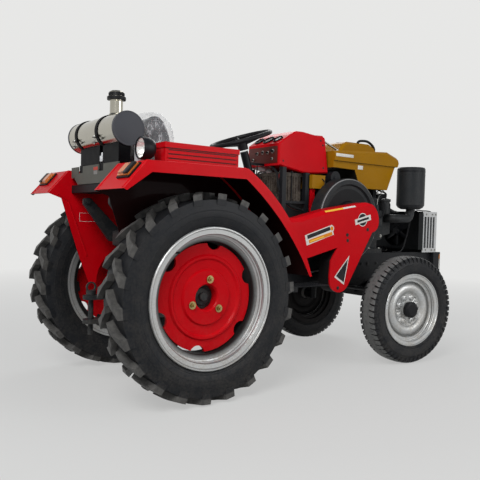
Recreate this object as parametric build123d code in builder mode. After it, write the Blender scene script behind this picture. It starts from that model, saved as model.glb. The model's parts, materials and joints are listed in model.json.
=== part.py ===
"""Small four-wheel farm tractor with a belt-driven, open, single-cylinder diesel engine.

Millimetres. +X points forward, +Y to the driver's left and +Z up. The origin lies on the
ground, midway between the rearmost and the foremost point and midway between the wheels.
Three datum planes start at the rear axle, so that nearly every place is given as a distance
ahead of that axle, to the left of the centre line, and above the ground.
"""

import os
from math import cos, radians, sin

from build123d import *

os.makedirs("parts", exist_ok=True)

# ---------------------------------------------------------------- driving dimensions
overall_length = 2757.0
wheelbase = 1545.0
rear_tyre_radius = 497.5
rear_wheel_left = 473.0  # half of the rear track
front_tyre_radius = 335.0
front_wheel_left = 472.5  # half of the front track
kingpin_left = 380.0
steer_angle = -7.0  # the front wheels are parked turned a little to the right

rear_axle_x = rear_tyre_radius - overall_length / 2
front_end = overall_length - rear_tyre_radius  # ahead of the rear axle

sheet = 3.0  # thickness of the pressed steel panels
fender_inner = 300.0
fender_outer = 600.0
fender_top = 1110.0
rail_outer = 175.0
front_box_half = 205.0
rail_bottom = 500.0
rail_top = 670.0
crank_ahead = 1210.0
crank_height = 885.0
clutch_ahead = 720.0
clutch_height = 768.0
belt_left = -332.5  # middle of the belt pack, on the right of the engine
belt_pitch = 17.5
belt_width = 14.0

side = Plane(origin=(rear_axle_x, 0, 0), x_dir=(1, 0, 0), z_dir=(0, -1, 0))
across = Plane(origin=(rear_axle_x, 0, 0), x_dir=(0, 1, 0), z_dir=(1, 0, 0))
plan = Plane(origin=(rear_axle_x, 0, 0))

hands = (("left", 1), ("right", -1))


# ---------------------------------------------------------------- helpers
def place(ahead, left, height):
    """Return the point that lies ahead of the rear axle, left of centre and above ground."""
    return Vector(rear_axle_x + ahead, left, height)


def profile(plane, *points):
    """Return a closed face on the plane with straight edges."""
    with BuildSketch(plane) as sketch:
        with BuildLine():
            Polyline(*points, close=True)
        make_face()
    return sketch.sketch


def rounded(plane, radius, *points):
    """Return a closed face on the plane whose corners are rounded."""
    with BuildSketch(plane) as sketch:
        with BuildLine():
            FilletPolyline(*points, radius=radius, close=True)
        make_face()
    return sketch.sketch


def block(ahead, left, height):
    """Return a box that spans three ranges."""
    size = [b - a for a, b in (ahead, left, height)]
    with BuildPart() as box:
        with Locations(place(ahead[0], left[0], height[0])):
            Box(*size, align=(Align.MIN, Align.MIN, Align.MIN))
    return box.part


def rod(start, end, radius):
    """Return a round bar from one place to another."""
    first, last = place(*start), place(*end)
    with BuildPart() as bar:
        with BuildSketch(Plane(origin=first, z_dir=last - first)):
            Circle(radius)
        extrude(amount=(last - first).length)
    return bar.part


def tube(radius, bend, *points):
    """Return a round bar that follows a path with rounded bends."""
    path_points = [place(*point) for point in points]
    with BuildPart() as pipe:
        with BuildLine() as path:
            FilletPolyline(*path_points, radius=bend)
        route = path.line
        with BuildSketch(Plane(origin=route @ 0, z_dir=route % 0)):
            Circle(radius)
        sweep(path=route)
    return pipe.part


def wheel_plane(centre, hand, steer=0.0):
    """Return a plane at a wheel's centre: its x points outboard and its y up."""
    outboard = Vector(-sin(radians(steer)), cos(radians(steer)), 0) * hand
    return Plane(origin=centre, x_dir=outboard, z_dir=outboard.cross(Vector(0, 0, 1)))


def finish(piece, name):
    """Label a piece and write it to its own file."""
    piece.part.label = name
    export_step(piece.part, f"parts/{name}.step")


# ---------------------------------------------------------------- rear wheels
lug_count = 22  # on each half of the tread
tread_half = 40.0  # the flat middle of the tread
shoulder_left, shoulder_radius = 100.0, 489.0
# One lug's outline, across the tyre from its middle and ahead in the rolling direction.
lug_outline = ((2, 58), (52, 8), (102, -14), (102, -62), (52, -18), (2, 26))


def lugs(centre, spin, bank):
    """Return the lugs on one half of a rear tyre, whose inner ends lead as it rolls."""
    foot = Plane(origin=centre - Vector(0, 0, 435), x_dir=(0, bank, 0), z_dir=(0, 0, -1))
    with BuildPart() as lug:
        extrude(profile(foot, *[(across_it, -bank * on) for across_it, on in lug_outline]), amount=80)
        revolve(
            profile(
                wheel_plane(centre, 1),
                (-shoulder_left - 5, 400), (-shoulder_left - 5, shoulder_radius),
                (-tread_half, rear_tyre_radius), (tread_half, rear_tyre_radius),
                (shoulder_left + 5, shoulder_radius), (shoulder_left + 5, 400),
            ),
            spin,
            mode=Mode.INTERSECT,
        )
    step = 360 / lug_count
    first = 0 if bank == 1 else step / 2  # the two halves are half a step apart
    return [lug.part.rotate(spin, first + step * turn) for turn in range(lug_count)]


for name, hand in hands:
    centre = Vector(rear_axle_x, rear_wheel_left * hand, rear_tyre_radius)
    hub_plane = wheel_plane(centre, hand)
    spin = Axis(centre, hub_plane.x_dir)
    disc_plane = Plane(origin=centre, z_dir=hub_plane.x_dir, x_dir=(1, 0, 0))

    with BuildPart() as rear_tyre:
        with BuildSketch(hub_plane):
            with BuildLine():
                Polyline((89, 336), (86, 305.5), (-86, 305.5), (-89, 336))
                ThreePointArc((-89, 336), (-105, 385), (-103, 425))
                Polyline((-103, 425), (-96, 460), (96, 460), (103, 425))
                ThreePointArc((103, 425), (105, 385), (89, 336))
            make_face()
        revolve(axis=spin)
        add(lugs(centre, spin, 1) + lugs(centre, spin, -1))
    finish(rear_tyre, f"rear_tyre_{name}")

    # The rim's outer side is rolled, then stepped down to its well, where six plates hold the disc.
    with BuildPart() as rear_rim:
        revolve(
            profile(
                hub_plane,
                (-97, 336), (-89, 336), (-86, 305.5), (-56, 305.5), (-44, 272), (44, 272),
                (56, 305.5), (86, 305.5), (89, 336), (97, 336), (101, 333), (101, 328),
                (95, 325), (93, 303), (88, 299), (77, 299), (73, 294), (67, 294), (62, 299),
                (57, 290), (53, 288), (50, 268), (44, 265.5), (-48, 265.5), (-60, 299),
                (-92, 299), (-97, 330),
            ),
            spin,
        )
        with BuildSketch(disc_plane.offset(2)):
            with PolarLocations(250, 6, start_angle=51):
                Rectangle(36, 56)
        extrude(amount=12)
    finish(rear_rim, f"rear_rim_{name}")

    with BuildPart() as rear_disc:
        revolve(
            profile(
                hub_plane,
                (28, 257), (28, 204), (38, 196), (38, 186), (30, 178), (27, 134), (38, 127),
                (38, 66), (30, 60), (-20, 60), (-20, 0), (-121, 0), (-121, 62), (-60, 70),
                (6, 100), (14, 130), (16, 140), (16, 205), (14, 212), (14, 257),
            ),
            spin,
        )
        with BuildSketch(disc_plane):
            with PolarLocations(270, 6, start_angle=21):
                Circle(42)
        extrude(amount=60, mode=Mode.SUBTRACT)
    finish(rear_disc, f"rear_disc_{name}")

# ---------------------------------------------------------------- front wheels and knuckles
pivot_height = front_tyre_radius
steering_arm_length = 120.0
tie_rod_height = 440.0
drag_link_height = 560.0
drag_arm_length = 110.0

for name, hand in hands:
    kingpin = place(wheelbase, kingpin_left * hand, 0)
    turned = Plane(
        origin=kingpin,
        x_dir=(cos(radians(steer_angle)), sin(radians(steer_angle)), 0),
        z_dir=(0, 0, 1),
    )
    offset_left = (front_wheel_left - kingpin_left) * hand
    centre = turned.from_local_coords(Vector(0, offset_left, pivot_height))
    hub_plane = wheel_plane(centre, hand, steer_angle)
    spin = Axis(centre, hub_plane.x_dir)

    with BuildPart() as front_tyre:
        with BuildSketch(hub_plane):
            with BuildLine():
                Polyline((51, 226), (49, 203.2), (-49, 203.2), (-51, 226))
                ThreePointArc((-51, 226), (-69, 272), (-62, 318))
                ThreePointArc((-62, 318), (0, front_tyre_radius), (62, 318))
                ThreePointArc((62, 318), (69, 272), (51, 226))
            make_face()
        revolve(axis=spin)
    finish(front_tyre, f"front_tyre_{name}")

    with BuildPart() as front_wheel:
        revolve(
            profile(
                hub_plane,
                (-57, 226), (-51, 226), (-49, 203.2), (-31, 203.2), (-23, 182), (23, 182),
                (31, 203.2), (49, 203.2), (51, 226), (57, 226), (60, 224), (60, 220),
                (55, 217), (53, 200), (49, 197.5), (43, 197.5), (40, 194), (36, 194),
                (33, 197), (31, 190), (28, 188), (27, 176.5), (-27, 176.5), (-34, 198),
                (-53, 198), (-57, 221),
            ),
            spin,
        )
        # The disc is a pressed bowl, welded to the well, with a ring of grooves round its hub.
        with BuildSketch(hub_plane):
            with BuildLine():
                Polyline((-4, 170), (-4, 180), (4, 180), (10, 168))
                ThreePointArc((10, 168), (34, 142), (18, 104))
                Polyline(
                    (18, 104), (12, 96), (12, 50), (30, 48), (36, 42), (36, 0), (-40, 0),
                    (-40, 38), (-6, 44), (2, 52), (2, 92), (8, 108),
                )
                ThreePointArc((8, 108), (24, 142), (-4, 170))
            make_face()
        revolve(axis=spin)
        for turn in range(0, 360, 45):
            ray = hub_plane.z_dir * cos(radians(turn)) + hub_plane.y_dir * sin(radians(turn))
            groove = centre + hub_plane.x_dir * 18 + ray * 60
            with BuildSketch(Plane(origin=groove, z_dir=ray)):
                Circle(12)
            extrude(amount=38, mode=Mode.SUBTRACT)
    finish(front_wheel, f"front_wheel_{name}")

    # The kingpin turns in the beam's sleeve; the stub axle is at its foot and the arms above.
    with BuildPart() as knuckle:
        with BuildSketch(turned.offset(pivot_height - 30)):
            Circle(24)
        extrude(amount=66)
        with BuildSketch(turned.offset(pivot_height + 36)):
            Circle(14)
        extrude(amount=drag_link_height + 16 - pivot_height - 36)
        stub_plane = Plane(origin=hub_plane.origin, z_dir=hub_plane.x_dir)
        with BuildSketch(stub_plane.offset(-42)):
            Circle(32)
        extrude(amount=-30)
        with BuildSketch(stub_plane.offset(-70)):
            Circle(22)
        extrude(amount=-25)
        # Arm for the tie rod, pointing rearward.
        arm_plane = turned.offset(tie_rod_height + 24)
        with BuildSketch(arm_plane):
            with Locations((-steering_arm_length / 2, 0)):
                SlotCenterToCenter(steering_arm_length, 32)
        extrude(amount=14)
        if name == "left":
            # Arm for the drag link, pointing inboard.
            with BuildSketch(turned.offset(drag_link_height + 12)):
                with Locations(Location((0, -drag_arm_length / 2), 90)):
                    SlotCenterToCenter(drag_arm_length, 32)
            extrude(amount=14)
    finish(knuckle, f"knuckle_{name}")


def steered(hand, back, inboard, height):
    """Return a place that turns with a knuckle, given back and inboard from its kingpin."""
    turned = Plane(
        origin=place(wheelbase, kingpin_left * hand, 0),
        x_dir=(cos(radians(steer_angle)), sin(radians(steer_angle)), 0),
        z_dir=(0, 0, 1),
    )
    return turned.from_local_coords(Vector(-back, -inboard * hand, height))


right_ball = steered(-1, steering_arm_length, 0, tie_rod_height)
left_ball = steered(1, steering_arm_length, 0, tie_rod_height)
with BuildPart() as tie_rod:
    with BuildSketch(Plane(origin=right_ball, z_dir=(0, 1, 0))):
        Circle(11)
    extrude(amount=(left_ball - right_ball).length)
    for ball in (right_ball, left_ball):
        with BuildSketch(Plane(origin=ball + Vector(0, 0, -13))):
            Circle(16)
        extrude(amount=33)
finish(tie_rod, "tie_rod")

# The drag link pushes the left knuckle's inboard arm; the steering gear's drop arm pulls it.
gear_ahead = 850.0
gear_height = 700.0
drop_left = 212.0
link_front = steered(1, 0, drag_arm_length, drag_link_height)
link_rear = place(gear_ahead + drag_arm_length * sin(radians(steer_angle)), 241, drag_link_height)
with BuildPart() as drag_link:
    with BuildSketch(Plane(origin=link_rear, z_dir=link_front - link_rear)):
        Circle(9)
    extrude(amount=(link_front - link_rear).length)
    with BuildSketch(Plane(origin=link_front + Vector(0, 0, -14))):
        Circle(16)
    extrude(amount=22)
    with BuildSketch(Plane(origin=link_rear + Vector(0, -10, 0), z_dir=(0, 1, 0))):
        Circle(16)
    extrude(amount=20)
finish(drag_link, "drag_link")

with BuildPart() as drop_arm:
    with BuildSketch(side.offset(-drop_left - 10)):
        for at in ((gear_ahead, gear_height), (link_rear.X - rear_axle_x, drag_link_height)):
            with Locations(at):
                Circle(17)
        make_hull()
    extrude(amount=10)
    with BuildSketch(side.offset(-drop_left)):
        with Locations((gear_ahead, gear_height)):
            Circle(15)
    extrude(amount=60)
finish(drop_arm, "drop_arm")

# ---------------------------------------------------------------- front axle
with BuildPart() as front_axle_beam:
    beam_outline = (
        (-358, 395), (-358, 440), (-120, 440), (-60, 462), (60, 462), (120, 440),
        (358, 440), (358, 395), (120, 378), (-120, 378),
    )
    extrude(profile(across.offset(wheelbase - 30), *beam_outline), amount=60)
    for hand in (1, -1):
        sleeve_plane = Plane(origin=place(wheelbase, kingpin_left * hand, 373))
        with BuildSketch(sleeve_plane):
            Circle(26)
        extrude(amount=84)
        with BuildSketch(sleeve_plane):
            Circle(14.3)
        extrude(amount=84, mode=Mode.SUBTRACT)
finish(front_axle_beam, "front_axle_beam")

with BuildPart() as axle_bracket:
    for ahead in (wheelbase - 56, wheelbase + 34):
        bracket_outline = ((-170, 500), (170, 500), (170, 488), (60, 400), (-60, 400), (-170, 488))
        extrude(profile(across.offset(ahead), *bracket_outline), amount=22)
    add(rod((wheelbase - 70, 0, 430), (wheelbase - 34, 0, 430), 16))
    add(rod((wheelbase + 34, 0, 430), (wheelbase + 70, 0, 430), 16))
    add(block((wheelbase - 56, wheelbase + 56), (-170, 170), (488, 500)))
finish(axle_bracket, "axle_bracket")

# ---------------------------------------------------------------- frame rails and front box
rail_start = 600.0
for name, hand in hands:
    with BuildPart() as rail:
        web, flange = 8, 45
        rail_section = [
            (rail_outer * hand, rail_bottom),
            (rail_outer * hand, rail_top),
            ((rail_outer - flange) * hand, rail_top),
            ((rail_outer - flange) * hand, rail_top - web),
            ((rail_outer - web) * hand, rail_top - web),
            ((rail_outer - web) * hand, rail_bottom + web),
            ((rail_outer - flange) * hand, rail_bottom + web),
            ((rail_outer - flange) * hand, rail_bottom),
        ]
        extrude(profile(across.offset(rail_start), *rail_section), amount=2180 - rail_start)
    finish(rail, f"rail_{name}")

with BuildPart() as front_box:
    box_outline = ((2180, 500), (2180, 670), (front_end, 670), (front_end, 520), (2240, 500))
    extrude(profile(side.offset(-front_box_half), *box_outline), amount=2 * front_box_half)
    with BuildSketch(across.offset(front_end)):
        with Locations((0, 590)):
            with GridLocations(220, 80, 2, 2):
                Circle(8.5)
    extrude(amount=-60, mode=Mode.SUBTRACT)
finish(front_box, "front_box")

# ---------------------------------------------------------------- gearbox and rear axle
with BuildPart() as gearbox_housing:
    gearbox_outline = ((150, 340), (690, 340), (750, 420), (770, 640), (150, 640))
    extrude(rounded(side.offset(-130), 18, *gearbox_outline), amount=260)
    add(block((420, 445), (-142, 142), (332, 640)))
    # The clutch shaft's housing stands on the right half only, clear of the steering column.
    clutch_outline = ((560, 630), (600, 760), (650, 830), (740, 830), (770, 800), (765, 600))
    extrude(profile(side.offset(32), *clutch_outline), amount=98)
    for hand in (1, -1):
        add(block((640, 750), sorted((130 * hand, rail_outer * hand - 8 * hand)), (515, 655)))
finish(gearbox_housing, "gearbox_housing")

with BuildPart() as rear_axle_housing:
    axle_section = (
        (-350, 0), (-350, 95), (-328, 95), (-318, 66), (-220, 72), (-140, 130), (-110, 150),
        (110, 150), (140, 130), (220, 72), (318, 66), (328, 95), (350, 95), (350, 0),
    )
    axle_line = Plane(origin=place(0, 0, rear_tyre_radius), x_dir=(0, 1, 0), z_dir=(1, 0, 0))
    revolve(profile(axle_line, *axle_section), Axis(axle_line.origin, (0, 1, 0)))
    add(block((-150, 150), (-110, 110), (360, 640)))
finish(rear_axle_housing, "rear_axle_housing")

rockshaft_ahead = -160.0
rockshaft_height = 755.0
with BuildPart() as lift_housing:
    lift_outline = (
        (-150, 647.5), (-150, 690), (-205, 720), (-205, 790), (-150, 810), (120, 810),
        (150, 780), (150, 647.5),
    )
    extrude(profile(side.offset(-95), *lift_outline), amount=190)
    with BuildSketch(side.offset(-95)):
        with Locations((rockshaft_ahead, rockshaft_height)):
            Circle(22.4)
    extrude(amount=190, mode=Mode.SUBTRACT)
finish(lift_housing, "lift_housing")

with BuildPart() as lift_arms:
    with BuildSketch(side.offset(-150)):
        with Locations((rockshaft_ahead, rockshaft_height)):
            Circle(22)
    extrude(amount=300)
    for left in (150, -170):
        arm_outline = (
            (rockshaft_ahead + 30, rockshaft_height - 25), (rockshaft_ahead + 35, rockshaft_height + 30),
            (rockshaft_ahead - 150, rockshaft_height + 210), (rockshaft_ahead - 185, rockshaft_height + 205),
            (rockshaft_ahead - 185, rockshaft_height + 175), (rockshaft_ahead - 35, rockshaft_height - 20),
        )
        extrude(rounded(side.offset(-left - 20), 12, *arm_outline), amount=20)
        with BuildSketch(side.offset(-left - 20)):
            with Locations((rockshaft_ahead - 165, rockshaft_height + 190)):
                Circle(9)
        extrude(amount=20, mode=Mode.SUBTRACT)
finish(lift_arms, "lift_arms")

# ---------------------------------------------------------------- towing clevis and power take-off
pin_ahead = -360.0
with BuildPart() as drawbar:
    for low, high in ((330, 350), (450, 470)):
        with BuildSketch(plan.offset(low)):
            with BuildLine():
                Polyline((-150, -60), (-360, -40))
                ThreePointArc((-360, -40), (-400, 0), (-360, 40))
                Polyline((-360, 40), (-150, 60), (-150, -60))
            make_face()
            with Locations((pin_ahead, 0)):
                Circle(13.5, mode=Mode.SUBTRACT)
        extrude(amount=high - low)
    add(block((-205, -150), (-60, 60), (330, 470)))
finish(drawbar, "drawbar")

with BuildPart() as draw_pin:
    add(rod((pin_ahead, 0, 272), (pin_ahead, 0, 480), 13))
    add(rod((pin_ahead, 0, 471), (pin_ahead, 0, 495), 24))
    with BuildSketch(side.offset(0)):
        with Locations((pin_ahead, 512)):
            Circle(26)
            Circle(19, mode=Mode.SUBTRACT)
    extrude(amount=5, both=True)
finish(draw_pin, "draw_pin")

with BuildPart() as pto_shaft:
    add(rod((-152, 0, 590), (-235, 0, 590), 17.5))
finish(pto_shaft, "pto_shaft")

# ---------------------------------------------------------------- engine
with BuildPart() as engine_block:
    extrude(
        rounded(
            side.offset(-150), 30,
            (1050, 715), (1040, 1000), (1100, 1085), (1400, 1085), (1420, 1040), (1660, 1040),
            (1660, 760), (1420, 740), (1400, 715),
        ),
        amount=310,
    )
    for hand in (1, -1):
        add(block((1060, 1640), sorted((120 * hand, 174 * hand)), (rail_top, 700)))
    add(block((1080, 1640), (-128, 128), (690, 800)))
    # Saddles under the tank, and on the left the timing cover and its round caps.
    for ahead in (1470, 1600):
        add(block((ahead, ahead + 30), (-120, 120), (1030, 1095)))
    cover_outline = ((1080, 760), (1080, 960), (1180, 1040), (1390, 1020), (1400, 800), (1330, 740))
    extrude(rounded(side.offset(-145), 40, *cover_outline), amount=-30)
    for at, radius in (((1210, 885), 52), ((1320, 940), 34), ((1150, 860), 24)):
        with BuildSketch(side.offset(-170)):
            with Locations(at):
                Circle(radius)
        extrude(amount=-16)
finish(engine_block, "engine_block")

with BuildPart() as cylinder_head:
    extrude(rounded(side.offset(-130), 12, (1660, 780), (1660, 1030), (1760, 1010), (1760, 800)), amount=270)
    extrude(rounded(side.offset(-100), 20, (1660, 900), (1660, 1075), (1745, 1075), (1745, 900)), amount=210)
finish(cylinder_head, "cylinder_head")

with BuildPart() as fuel_tank:
    # The tub arches over the flywheel; its narrow tail runs back under the console.
    tub_outline = (
        (965, 1072), (965, 1155), (1140, 1155), (1140, 1262), (1737, 1262), (1725, 1238),
        (1659, 1095), (1452, 1095), (1372, 1131), (1336, 1210), (1185, 1213), (1150, 1135),
        (1085, 1125), (1072, 1072),
    )
    extrude(profile(side.offset(-188), *tub_outline), amount=376)
    add(block((1073, 1200), (-190, -85), (1071, 1213)), mode=Mode.SUBTRACT)
    lid_outline = (
        (1140, 1256), (1140, 1314), (1203, 1324), (1647, 1349), (1745, 1318), (1759, 1280),
        (1750, 1256),
    )
    with BuildPart(mode=Mode.PRIVATE) as lid:
        extrude(profile(side.offset(-200), *lid_outline), amount=400)
        upper = lid.edges().filter_by(lambda edge: edge.center().Z > 1300)
        chamfer(upper.filter_by(lambda edge: abs(edge.center().Y) > 199), 14)
    add(lid.part)
    dome_outline = (
        (1250, 1320), (1312, 1385), (1345, 1399), (1560, 1401), (1612, 1380), (1646, 1340),
    )
    with BuildPart(mode=Mode.PRIVATE) as dome:
        extrude(profile(side.offset(-115), *dome_outline), amount=230)
        upper = dome.edges().filter_by(lambda edge: edge.center().Z > 1340)
        chamfer(upper.filter_by(lambda edge: abs(edge.center().Y) > 114), 16)
    add(dome.part)
finish(fuel_tank, "fuel_tank")

with BuildPart() as alternator:
    add(rod((1170, -182, 1148), (1170, -90, 1148), 42))
    add(rod((1170, -186, 1148), (1170, -182, 1148), 16))
    add(block((1140, 1200), (-160, -100), (1085, 1125)))
finish(alternator, "alternator")

with BuildPart() as flywheel:
    wheel_side = Plane(
        origin=place(crank_ahead, 0, crank_height), x_dir=(0, -1, 0), z_dir=(-1, 0, 0)
    )
    flywheel_section = (
        (168, 0), (168, 40), (200, 48), (200, 222), (188, 228), (188, 258), (268, 258),
        (276, 250), (276, 222), (262, 214), (262, 120), (276, 112), (276, 55), (302, 55),
        (302, 76), (306, 80), (356, 80), (360, 76), (360, 0),
    )
    revolve(profile(wheel_side, *flywheel_section), Axis(wheel_side.origin, (0, 1, 0)))
finish(flywheel, "flywheel")

clutch_radius = 94.0
with BuildPart() as clutch_pulley:
    clutch_side = Plane(
        origin=place(clutch_ahead, 0, clutch_height), x_dir=(0, -1, 0), z_dir=(-1, 0, 0)
    )
    clutch_section = (
        (133, 0), (133, 24), (290, 24), (290, 70), (302, 80), (302, clutch_radius - 4),
        (306, clutch_radius), (356, clutch_radius), (360, clutch_radius - 4), (360, 40),
        (368, 36), (368, 0),
    )
    revolve(profile(clutch_side, *clutch_section), Axis(clutch_side.origin, (0, 1, 0)))
finish(clutch_pulley, "clutch_pulley")

with BuildPart() as drive_belts:
    wrap = ((crank_ahead, crank_height), 80.4), ((clutch_ahead, clutch_height), clutch_radius + 0.4)
    for row in (1, 0, -1):
        with BuildSketch(side.offset(-belt_left - row * belt_pitch - belt_width / 2)):
            for grow, mode in ((8, Mode.ADD), (0, Mode.SUBTRACT)):
                with BuildSketch(mode=mode):
                    for at, radius in wrap:
                        with Locations(at):
                            Circle(radius + grow)
                    make_hull()
        extrude(amount=belt_width)
finish(drive_belts, "drive_belts")

guard_depth = 93.0


def guard_form(inset, depth):
    """Return the belt guard's outer form, or with an inset the room inside its sheet."""
    with BuildPart() as form:
        with BuildSketch(side.offset(290)):
            with BuildLine():
                Polyline((600, 626), (570, 700), (590, 880), (700, 888), (933, 945), (1240, 994))
                ThreePointArc((1240, 994), (1322, 962), (1355, 885))
                ThreePointArc((1355, 885), (1346, 842), (1298, 812))
                Line((1298, 812), (1092, 492))
                ThreePointArc((1092, 492), (1030, 456), (944, 500))
                Polyline((944, 500), (938, 545), (945, 644), (999, 721), (778, 667), (600, 626))
            make_face()
            if inset:
                offset(amount=-inset, kind=Kind.INTERSECTION, mode=Mode.REPLACE)
        extrude(amount=depth)
        top = [edge for edge in form.faces().sort_by(Axis.Y)[0].edges() if edge.center().Z > 870]
        chamfer([edge for edge in top if edge.center().X < place(1200, 0, 0).X], 22)
    return form.part


with BuildPart() as belt_guard:
    add(guard_form(0, guard_depth))
    add(guard_form(sheet, guard_depth - sheet), mode=Mode.SUBTRACT)
    # Two stays reach out from the rail.
    add(block((985, 1045), (-sheet - 380, -rail_outer), (520, 550)))
    add(block((640, 670), (-sheet - 380, -rail_outer), (645, 657)))
finish(belt_guard, "belt_guard")

core_back, core_front, core_half = 2052.0, 2198.0, 190.0
tank_back, tank_front, tank_side = 2040.0, 2212.0, 200.0
core_low, core_high = 700.0, 925.0
with BuildPart() as radiator:
    add(block((core_back, core_front), (-core_half, core_half), (core_low - 5, core_high + 5)))
    for low, high in ((rail_top, core_low), (core_high, 962)):
        add(block((tank_back, tank_front), (-tank_side, tank_side), (low, high)))
    for start, end in ((tank_back, 2066), (2090, 2102), (2122, 2134), (2154, 2166), (2186, tank_front)):
        for hand in (1, -1):
            across_rib = sorted(((core_half - 2) * hand, tank_side * hand))
            add(block((start, end), across_rib, (core_low, core_high)))
    for height in range(708, 920, 18):
        add(block((core_front, core_front + 8), (-core_half, core_half), (height, height + 5)))
    add(rod((2126, -60, 960), (2126, -60, 985), 26))
    # The fan's shroud, a frame round a wide hole.
    add(block((1996, core_back), (-205, 205), (690, 950)))
    add(rod((1996, 0, 820), (core_back - 7, 0, 820), 112), mode=Mode.SUBTRACT)
finish(radiator, "radiator")

with BuildPart() as air_cleaner:
    cleaner_side = Plane(origin=place(1850, -236, 0), x_dir=(1, 0, 0), z_dir=(0, -1, 0))
    cleaner_section = (
        (0, 972), (62, 972), (84, 984), (94, 1000), (94, 1246), (88, 1256), (20, 1260), (0, 1260),
    )
    revolve(profile(cleaner_side, *cleaner_section), Axis(cleaner_side.origin, (0, 0, 1)))
    add(tube(28, 40, (1850, -236, 980), (1850, -236, 905), (1700, -236, 905), (1700, -140, 905)))
finish(air_cleaner, "air_cleaner")

with BuildPart() as muffler:
    add(rod((1450, 250, 930), (1720, 250, 930), 58))
    add(tube(22, 28, (1700, 130, 860), (1700, 250, 860), (1700, 250, 930)))
    add(rod((1380, 250, 930), (1455, 250, 930), 22))
finish(muffler, "muffler")

# ---------------------------------------------------------------- steering column and wheel
wheel_tilt = 19.5
wheel_at = (555, 0, 1345)
column_down = Vector(sin(radians(wheel_tilt)), 0, -cos(radians(wheel_tilt)))
wheel_origin = place(*wheel_at)
rim_radius = 190.0

with BuildPart() as steering_column:
    extrude(
        rounded(
            side.offset(-72), 8,
            (690, 640), (690, 660), (730, 680), (730, 775), (905, 775), (905, 655), (790, 640),
        ),
        amount=100,
    )
    with BuildSketch(side.offset(-200)):
        with Locations((gear_ahead, gear_height)):
            Circle(28)
    extrude(amount=150)
    with BuildSketch(side.offset(-drop_left)):
        with Locations((gear_ahead, gear_height)):
            Circle(15.4)
    extrude(amount=65, mode=Mode.SUBTRACT)
    with BuildSketch(Plane(origin=wheel_origin + column_down * 75, z_dir=column_down)):
        Circle(24)
    extrude(amount=560)
    add(block((612, 727), (-14, 14), (1200, 1212)))
finish(steering_column, "steering_column")

with BuildPart() as steering_wheel:
    wheel_disc = Plane(origin=wheel_origin, x_dir=(0, 1, 0), z_dir=column_down * -1)
    ring_plane = Plane(
        origin=wheel_origin + wheel_disc.x_dir * (rim_radius - 13),
        x_dir=wheel_disc.x_dir, z_dir=wheel_disc.x_dir.cross(wheel_disc.z_dir),
    )
    with BuildSketch(ring_plane):
        Circle(13)
    revolve(axis=Axis(wheel_origin, wheel_disc.z_dir))
    with BuildSketch(wheel_disc.offset(-66)):
        Circle(30)
    extrude(amount=50)
    for turn in (90, 210, 330):
        spoke_end = wheel_disc.from_local_coords(
            Vector((rim_radius - 16) * cos(radians(turn)), (rim_radius - 16) * sin(radians(turn)), 0)
        )
        spoke_start = wheel_disc.from_local_coords(Vector(0, 0, -36))
        with BuildSketch(Plane(origin=spoke_start, z_dir=spoke_end - spoke_start)):
            Circle(8)
        extrude(amount=(spoke_end - spoke_start).length)
finish(steering_wheel, "steering_wheel")

# ---------------------------------------------------------------- console and its stand
console_half = 150.0
console_rear = 727.0
with BuildPart() as console:
    console_outline = (
        (console_rear, 1197), (console_rear, 1328), (812, 1387), (860, 1411), (918, 1412),
        (1015, 1402), (1080, 1405), (1103, 1391), (1137, 1176), (975, 1165), (925, 1165),
    )
    extrude(profile(side.offset(-console_half), *console_outline), amount=2 * console_half)
    for end in (console.faces().sort_by(Axis.Y)[0], console.faces().sort_by(Axis.Y)[-1]):
        chamfer(end.edges(), 7)
finish(console, "console")

stand_half, stand_leg = 165.0, 30.0
tray_top = 990.0
with BuildPart() as console_stand:
    for hand in (1, -1):
        across_leg = sorted(((stand_half - stand_leg) * hand, stand_half * hand))
        for ahead, top in ((930, 1165), (745, 1188)):
            add(block((ahead, ahead + stand_leg), across_leg, (rail_top, top)))
    add(block((745, 930 + stand_leg), (-stand_half, stand_half), (tray_top - 15, tray_top)))
finish(console_stand, "console_stand")

case_top = 1140.0
case_ahead, case_left = (765, 925), (-128, 112)
rib_pitch, rib_width, rib_depth = 22, 10, 4
with BuildPart() as battery:
    add(block(case_ahead, case_left, (tray_top, case_top)))
    add(block((760, 930), (-133, 117), (case_top, case_top + 20)))
    ribs_up = (tray_top, case_top)
    for ahead in range(case_ahead[0] + 10, case_ahead[1] - 10, rib_pitch):
        add(block((ahead, ahead + rib_width), (case_left[0] - rib_depth, case_left[0]), ribs_up))
        add(block((ahead, ahead + rib_width), (case_left[1], case_left[1] + rib_depth), ribs_up))
    for left in range(case_left[0] + 8, case_left[1] - 12, rib_pitch):
        add(block((case_ahead[0] - rib_depth, case_ahead[0]), (left, left + rib_width), ribs_up))
finish(battery, "battery")

with BuildPart() as guard_post:
    add(block((975, 1010), (-165, -140), (rail_top, 1072)))
    add(block((965, 1020), (-172, -133), (rail_top, rail_top + 6)))
finish(guard_post, "guard_post")

# ---------------------------------------------------------------- fenders
fender_rear = (-480, 985)
fender_front = (590, 585)
lip_depth, lip_end = 50.0, 16.0  # the outer lip narrows towards its ends


def fender_crown(depth=0.0, end_depth=0.0):
    """Return the points of the fender's side outline, or of a line inside it.

    The line lies depth inside the outline along the top, and end_depth at the two ends.
    """
    return (
        (fender_rear[0] + 0.9 * end_depth, fender_rear[1] - 0.45 * end_depth),
        (-370 + depth * 0.4, fender_top - depth),
        (160 - depth * 0.2, fender_top - depth),
        (412 - depth * 0.8, 895 - depth * 0.6),
        (fender_front[0] - end_depth, fender_front[1]),
    )


def fender_sheet(plane, depth, end_depth):
    """Return the strip of a plane between the fender's outline and a line inside it."""
    outer, inner = fender_crown(), fender_crown(depth, end_depth)
    with BuildSketch(plane) as sketch:
        with BuildLine():
            for line in (outer, inner):
                Polyline(*line[:3])
                ThreePointArc(*line[2:])
            Line(outer[0], inner[0])
            Line(outer[4], inner[4])
        make_face()
    return sketch.sketch


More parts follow.
